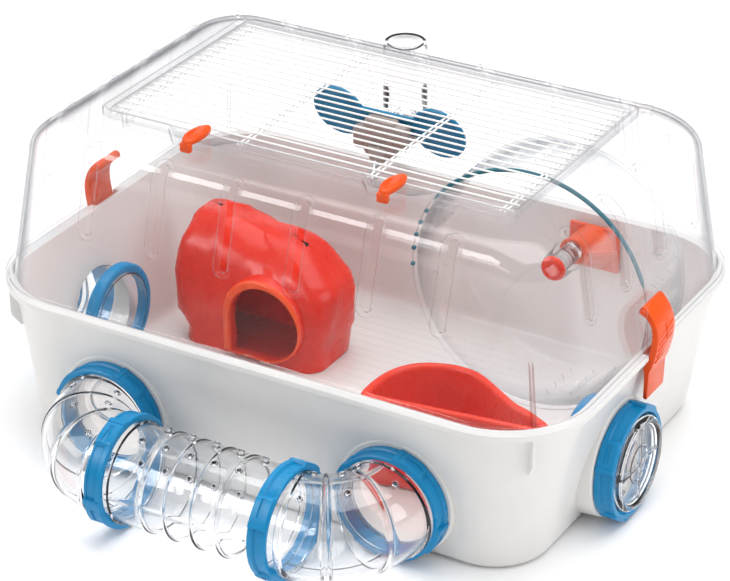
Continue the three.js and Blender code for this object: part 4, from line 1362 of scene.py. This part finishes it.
def rock(point, depth):
    """Pushes a point of the house in or out to make its rough facets."""
    facet = noise.voronoi(point * 0.032, distance_metric="DISTANCE", exponent=2.5)[0]
    ridge = facet[1] - facet[0]
    slow = noise.noise(point * 0.02 + Vector((3.1, 7.7, 1.3)))
    outward = Vector((point.x - HOUSE_X, (point.y - HOUSE_Y) * 1.6, 0)).normalized()
    return point + outward * depth * (2.4 * ridge + 1.8 * slow - 1.3)


def top_height(x):
    """How high the house reaches at a place along X: a tall left block and a lower right one."""
    for (x0, z0), (x1, z1) in zip(CREST, CREST[1:]):
        if x <= x1:
            t = min(1.0, max(0.0, (x - x0) / (x1 - x0)))
            return z0 + (z1 - z0) * t
    return CREST[-1][1]


def house_skin(inset, low):
    """The loops of the house's outside, or of its inside when moved in."""
    levels = [
        (53, 26, 13, low, 1.5, 0, 0.0),
        (55.5, 26.5, 13.5, 12, 1, 0, 0.0),
        (57.4, 27, 14, 22.5, 0.4, 0, 0.0),
        (59.6, 27.6, 14, 25, 0, 0, 0.0),
        (61.4, 28, 15, 40, 0, 0.2, 0.0),
        (62.4, 28, 15, 54, 0, 0.5, 0.1),
        (60.6, 26.6, 13.5, 67, -0.8, 1.8, 0.35),
        (57.6, 23.6, 12, 76, -2, 4, 0.65),
        (54, 20.4, 11, 82.5, -3.4, 6.4, 0.85),
        (49, 17, 9, 87.5, -6, 8.5, 1.0),
        (42, 13, 7, 90.8, -9, 10.5, 1.0),
        (28, 7, 4, 92, -12, 11.5, 1.0),
    ]
    loops = []
    for half_x, half_y, radius, z, dx, dy, fade in levels:
        size = max(2.0, radius - inset)
        centre = (HOUSE_X + dx, HOUSE_Y + dy)
        base = rounded(half_x - inset, half_y - inset, size, 0, centre, 8, 6.0)
        height = z - (inset if z > 60 else 0)
        depth = 0.0 if z <= low + 0.1 else 2.2
        loop = []
        for point in resampled(base, 120):
            drop = fade * (92 - top_height(point.x))
            loop.append(rock(Vector((point.x, point.y, height - drop)), depth))
        loops.append(loop)
    return loops


def doorway_outline(grow, shift=0.0):
    """The doorway: round, but for its square lower left corner. shift moves it up and left."""
    x, z = DOOR_X - shift, DOOR_Z + shift
    radius = DOOR_R + grow
    outline = [(x - radius, z - radius + shift), (x, z - radius + shift * 0.5)]
    for i in range(1, 37):
        angle = (-90 + 270 * i / 36) * DEG
        outline.append((x + radius * cos(angle), z + radius * sin(angle)))
    return outline


def make_house():
    low, _ = box_mm("house")
    house = new_object("rock_house", loft(house_skin(0, low.z)))
    hood = []
    for y, grow in ((18, 5.0), (8.4, 4.6), (6.6, 4.0), (5.5, 2.9), (5.0, 1.4)):
        hood.append([Vector((x, y, z)) for x, z in doorway_outline(grow, 1.6)])
    boolean(house, [loft(hood)], "UNION")
    inner = loft(house_skin(2.6, low.z + 1.6))
    doorway = []
    for y, grow in ((0, 1.2), (5.2, 1.0), (6.2, 0.3), (7.6, 0.0), (26, 0.0)):
        doorway.append([Vector((x, y, z)) for x, z in doorway_outline(grow)])
    boolean(house, [inner, loft(doorway)], "DIFFERENCE")
    front_band(HOUSE_RED, 6.6, 7.6, "f2521a")
    piece(house, HOUSE_RED, "house", ["house"], angle=50)


# ---------------------------------------------------------------- food bowl
BOWL_X, BOWL_Y, BOWL_TURN = 104, -76, 7.8
# The rim from the right end of its straight front round the back, about the front's middle.
BOWL_RIM = ((54, -1), (60, 5), (50, 13), (41, 19), (31, 24), (19, 34), (0, 49), (-13, 53))
BOWL_RIM += ((-26, 52.5), (-40, 47.5), (-50, 38), (-56, 25), (-59, 8), (-58.5, -1))


def relaxed(points, times):
    """Evens out an outline, which rounds its corners."""
    for _ in range(times):
        points = [
            (points[i - 1] + 2 * point + points[(i + 1) % len(points)]) / 4
            for i, point in enumerate(points)
        ]
    return points


def bowl_rim():
    """The rim as a smooth outline of even steps, starting in the middle of its front."""
    points = [Vector((x, y, 0)) for x, y in BOWL_RIM]
    curve = [Vector((0, -1, 0)), Vector((46, -1, 0))]
    for i in range(len(points) - 1):
        before = points[i - 1] if i else Vector((46, -1, 0))
        a, b = points[i], points[i + 1]
        after = points[i + 2] if i + 2 < len(points) else Vector((-50, -1, 0))
        for k in range(8):
            t = k / 8
            pull = (b - before) * t + (2 * before - 5 * a + 4 * b - after) * t ** 2
            curve.append(a + 0.5 * (pull + (3 * a - before - 3 * b + after) * t ** 3))
    curve.append(points[-1])
    return relaxed(resampled(curve, 180), 4)


def moved_in(points, distance):
    """The outline moved in by a distance, or out when it is below zero, in short steps."""
    steps = max(1, math.ceil(abs(distance)))
    for _ in range(steps):
        shifted = []
        for i, point in enumerate(points):
            along = (points[(i + 1) % len(points)] - points[i - 1]).normalized()
            shifted.append(point + Vector((-along.y, along.x, 0)) * distance / steps)
        points = relaxed(resampled(shifted, len(points)), 1)
    return points


def make_bowl():
    low, high = box_mm("food_bowl")
    z0, z1 = low.z, high.z
    rim = bowl_rim()
    levels = [(z0, 3.4), (z0 + 0.5, 2.4), (z0 + 2.2, 1.4), (z0 + 6, 0.8), (z0 + 24, 0.6)]
    levels += [(z1 - 8, 0.3), (z1 - 4.8, 0.2), (z1 - 4.3, -0.8), (z1 - 3, -1.3), (z1 - 1.3, -1.2)]
    levels += [(z1 - 0.2, -0.3), (z1, 1.2), (z1 - 0.3, 2.8), (z1 - 1.5, 3.7), (z1 - 3.6, 4.0)]
    levels += [(z1 - 20, 4.3), (z0 + 16, 5.2), (z0 + 9, 7), (z0 + 5.4, 10)]
    levels += [(z0 + 4, 14), (z0 + 3.6, 18)]
    loops = []
    for z, inset in levels:
        loops.append([Vector((point.x, point.y, z)) for point in moved_in(rim, inset)])
    place = Matrix.Translation((BOWL_X, BOWL_Y, 0)) @ Matrix.Rotation(BOWL_TURN * DEG, 4, "Z")
    bowl = new_object("food_bowl_shell", loft(loops).moved(place))
    piece(bowl, BOWL_ORANGE, "bowl", ["food_bowl"], angle=50)


# ---------------------------------------------------------------- drinking bottle
def make_bottle():
    z0, z1 = BOTTLE_LOW.z, BOTTLE_HIGH.z
    radius = (BOTTLE_HIGH.x - BOTTLE_LOW.x) / 2
    centre = (BOTTLE_X, BOTTLE_Y, 0)
    profile = [(4, z0 + 0.4), (4.4, z0), (8.6, z0), (9, z0 + 0.6), (9, z0 + 1.8), (11, z0 + 3)]
    profile += [(13.4, z0 + 4.6), (14.6, z0 + 6.6), (15, z0 + 9), (15, z0 + 24), (14.6, z0 + 25)]
    profile += [(14.6, z0 + 31), (15, z0 + 32), (15, z1 - 4), (14.6, z1 - 1.4), (13.4, z1 - 0.2)]
    profile += [(12, z1), (9, z1 - 1.0), (4, z1 - 1.6), (0, z1 - 1.8)]
    profile += [(0, z1 - 3.2), (8, z1 - 2.8), (12, z1 - 2.4), (13, z1 - 4), (13.2, z1 - 8)]
    profile += [(13.2, z0 + 9), (12.4, z0 + 6.6), (9, z0 + 5), (5, z0 + 4), (4, z0 + 3.2)]
    profile = [(radius / 15 * r, h) for r, h in profile]
    bottle = new_object("bottle_body", turned(profile, centre, (0, 0, 1), 72))
    piece(bottle, CLEAR_THICK, "bottle", ["bottle"], angle=40)


def spout_point(distance):
    lean = 0.46
    low = Vector((BOTTLE_X, 103.5, 105.5))
    return low + distance * Vector((0, sin(lean), cos(lean)))


def make_nozzle():
    z0 = BOTTLE_LOW.z
    cup_profile = [(0, 0), (7.8, 0), (8.8, 1.0), (8.8, 14.6), (8.0, 15.7), (0, 15.7)]
    nozzle = new_object(
        "bottle_nozzle_body",
        turned(cup_profile, (BOTTLE_X, BOTTLE_Y, z0 - 16), (0, 0, 1), 48, closed=False),
    )
    parts = [rod((BOTTLE_X, BOTTLE_Y - 2, 124), (BOTTLE_X, 115, 124), 5.5)]
    parts.append(block((BOTTLE_X - 12, 110.2, 118.6), (BOTTLE_X + 12, 121.2, 146), 3.2))
    for side in (-1, 1):
        parts.append(
            block(
                (BOTTLE_X + side * 14 - 7, 111.2, 124 + 3 * side),
                (BOTTLE_X + side * 14 + 7, 120.6, 141 + 3 * side),
                3.4,
            )
        )
    parts.append(rod(spout_point(22), spout_point(13), 8, 5.5, round_edge=0.8))
    parts.append(rod((BOTTLE_X, 115.6, 134), (BOTTLE_X, 109.6, 134), 5.4, 4.6, round_edge=0.8))
    boolean(nozzle, parts, "UNION")
    grips = []
    for i in range(20):
        angle = tau * i / 20
        at = Vector((BOTTLE_X + 8.8 * cos(angle), BOTTLE_Y + 8.8 * sin(angle), z0 - 14))
        grips.append(rod(at, at + Vector((0, 0, 11)), 0.55, steps=8, round_edge=0.2))
    boolean(nozzle, [Shape().join(*grips)], "UNION")
    boolean(nozzle, [rod(spout_point(0), spout_point(25), 3.7)], "DIFFERENCE")
    piece(nozzle, GREY, "lid", ["bottle_nozzle"], angle=40)


def make_holder():
    z, disc_x = 140, 38
    lean = math.atan(LEAN_Y)
    wall_y = RIM_Y - inset_at(z, LEAN_Y) - LID_T - 0.6
    place = Matrix.Translation((BOTTLE_X, wall_y, z)) @ Matrix.Rotation(lean, 4, "X")
    disc = [(0, 0), (19.2, 0), (20, 0.7), (20, 2.2), (19.2, 3), (17.6, 3), (17.2, 2.4), (15.4, 2.4)]
    disc += [(15, 3), (13.6, 3), (13.2, 2.4), (0, 2.4)]
    bar = block((-disc_x, -2.9, -7.6), (disc_x, -0.1, 7.6), 0.8)
    holder = new_object("bottle_wings", bar.moved(place))
    discs = []
    for side in (-1, 1):
        shape = turned(disc, (side * disc_x, 0, 0), (0, -1, 0), 64, closed=False)
        discs.append(shape.moved(place))
    boolean(holder, discs, "UNION")
    piece(holder, WING_BLUE, "lid", ["bottle_holder"])


def ball(radius, steps, centre, axis):
    profile = []
    for i in range(steps + 1):
        angle = pi * i / steps
        profile.append((radius * sin(angle), -radius * cos(angle)))
    return turned(profile, centre, axis, 40, closed=False)


def make_spout():
    tip = spout_point(0)
    axis = (spout_point(1) - tip).normalized()
    profile = [(1.8, 0.2), (3.0, 0), (3.3, 0.4), (3.4, 1.2), (3.4, 23.6), (3.1, 24), (1.8, 24)]
    tube = new_object("spout_pipe", turned(profile, tip, axis, 40))
    boolean(tube, [ball(2.9, 16, tip, axis)], "DIFFERENCE")
    piece(tube, STEEL, "lid", ["spout_tube"], angle=35)
    bearing = new_object("spout_ball_bearing", ball(2.6, 20, tip, axis))
    piece(bearing, STEEL, "lid", ["spout_ball"], angle=60)


# ---------------------------------------------------------------- build
make_tray()
make_lid()
make_door()
make_grille()
for side in (-1, 1):
    make_latch(side)
    make_clip(side)
    make_elbow(side)
    make_cap(side)
    make_collar(side)
make_straight_tube()
make_ring("ring_front_left", "ring_front_left", Vector((0, -1, 0)), 0)
make_ring("ring_front_right", "ring_front_right", Vector((0, -1, 0)), 8)
make_ring("ring_tube_left", "ring_tube_left", Vector((-1, 0, 0)), 10)
make_ring("ring_tube_right", "ring_tube_right", Vector((1, 0, 0)), -6)
make_ring("ring_side_left", "ring_side_left", Vector((-1, 0, 0)), 0)
make_ring("ring_side_right", "ring_side_right", Vector((1, 0, 0)), 0)
make_wheel()
make_front_ring()
make_wheel_fittings()
make_house()
make_bowl()
make_bottle()
make_nozzle()
make_holder()
make_spout()


# ---------------------------------------------------------------- studio
def make_floor():
    shape = Shape().add(
        [(-9000, -9000, -0.4), (9000, -9000, -0.4), (9000, 9000, -0.4), (-9000, 9000, -0.4)],
        [(0, 1, 2, 3)],
    )
    floor = new_object("studio_floor", shape)
    material, tree, shader, place, _ = new_material("studio_paper")
    paper = noise_node(tree, place, 3, 2, 0.5)
    colours = colour_blend(tree, paper.outputs["Fac"], (0.94, 0.94, 0.94), (0.97, 0.97, 0.97))
    tree.links.new(colours, shader.inputs["Base Color"])
    shader.inputs["Roughness"].default_value = 0.9
    shader.inputs["Specular IOR Level"].default_value = 0.1
    floor.data.materials.append(material)


def soft_light(name, place, target, size, power):
    data = bpy.data.lights.new(name, "AREA")
    data.shape = "RECTANGLE"
    data.size, data.size_y = size
    data.energy = power
    light = bpy.data.objects.new(name, data)
    bpy.context.scene.collection.objects.link(light)
    light.location = place
    light.rotation_euler = (Vector(target) - Vector(place)).to_track_quat("-Z", "Y").to_euler()
    return light


def make_world():
    world = bpy.data.worlds.new("studio_world")
    world.use_nodes = True
    tree = world.node_tree
    background = tree.nodes["Background"]
    place = tree.nodes.new("ShaderNodeTexCoord")
    split = tree.nodes.new("ShaderNodeSeparateXYZ")
    ramp = tree.nodes.new("ShaderNodeValToRGB")
    ramp.color_ramp.elements[0].position = 0.0
    ramp.color_ramp.elements[0].color = (0.5, 0.5, 0.52, 1)
    ramp.color_ramp.elements[1].position = 0.75
    ramp.color_ramp.elements[1].color = (1.0, 1.0, 1.0, 1)
    tree.links.new(place.outputs["Generated"], split.inputs["Vector"])
    tree.links.new(split.outputs["Z"], ramp.inputs["Fac"])
    tree.links.new(ramp.outputs["Color"], background.inputs["Color"])
    background.inputs["Strength"].default_value = 0.68
    bpy.context.scene.world = world


def make_camera():
    data = bpy.data.cameras.new("photo_camera")
    data.lens = 139.07
    data.sensor_width = 36
    data.clip_end = 100
    data.dof.use_dof = False
    camera = bpy.data.objects.new("photo_camera", data)
    bpy.context.scene.collection.objects.link(camera)
    camera.location = (0.7933, -1.3557, 0.9342)
    target = Vector((0.0050, -0.0098, 0.0910))
    aim = (target - camera.location).to_track_quat("-Z", "Y").to_matrix().to_4x4()
    roll = Matrix.Rotation(-0.29 * DEG, 4, "Z")
    camera.matrix_world = Matrix.Translation(camera.location) @ aim @ roll
    bpy.context.scene.camera = camera


make_floor()
make_world()
make_camera()
soft_light("top_softbox", (0.1, 0.3, 1.9), (0, 0, 0.1), (2.2, 1.6), 34)
soft_light("left_softbox", (-1.7, -0.9, 1.1), (0, 0, 0.1), (0.9, 1.3), 7)
soft_light("front_strip", (-0.4, -2.2, 1.0), (0, 0, 0.12), (1.2, 0.35), 4)
shoulder = soft_light("shoulder_strip", (-0.9, -1.4, 1.25), (0, -0.1, 0.18), (1.2, 0.5), 14)
shoulder.visible_diffuse = False
soft_light("right_softbox", (2.0, 0.2, 0.9), (0, 0, 0.1), (0.8, 1.2), 9)
bpy.context.scene.view_settings.view_transform = "Standard"
bpy.context.scene.cycles.transparent_max_bounces = 32
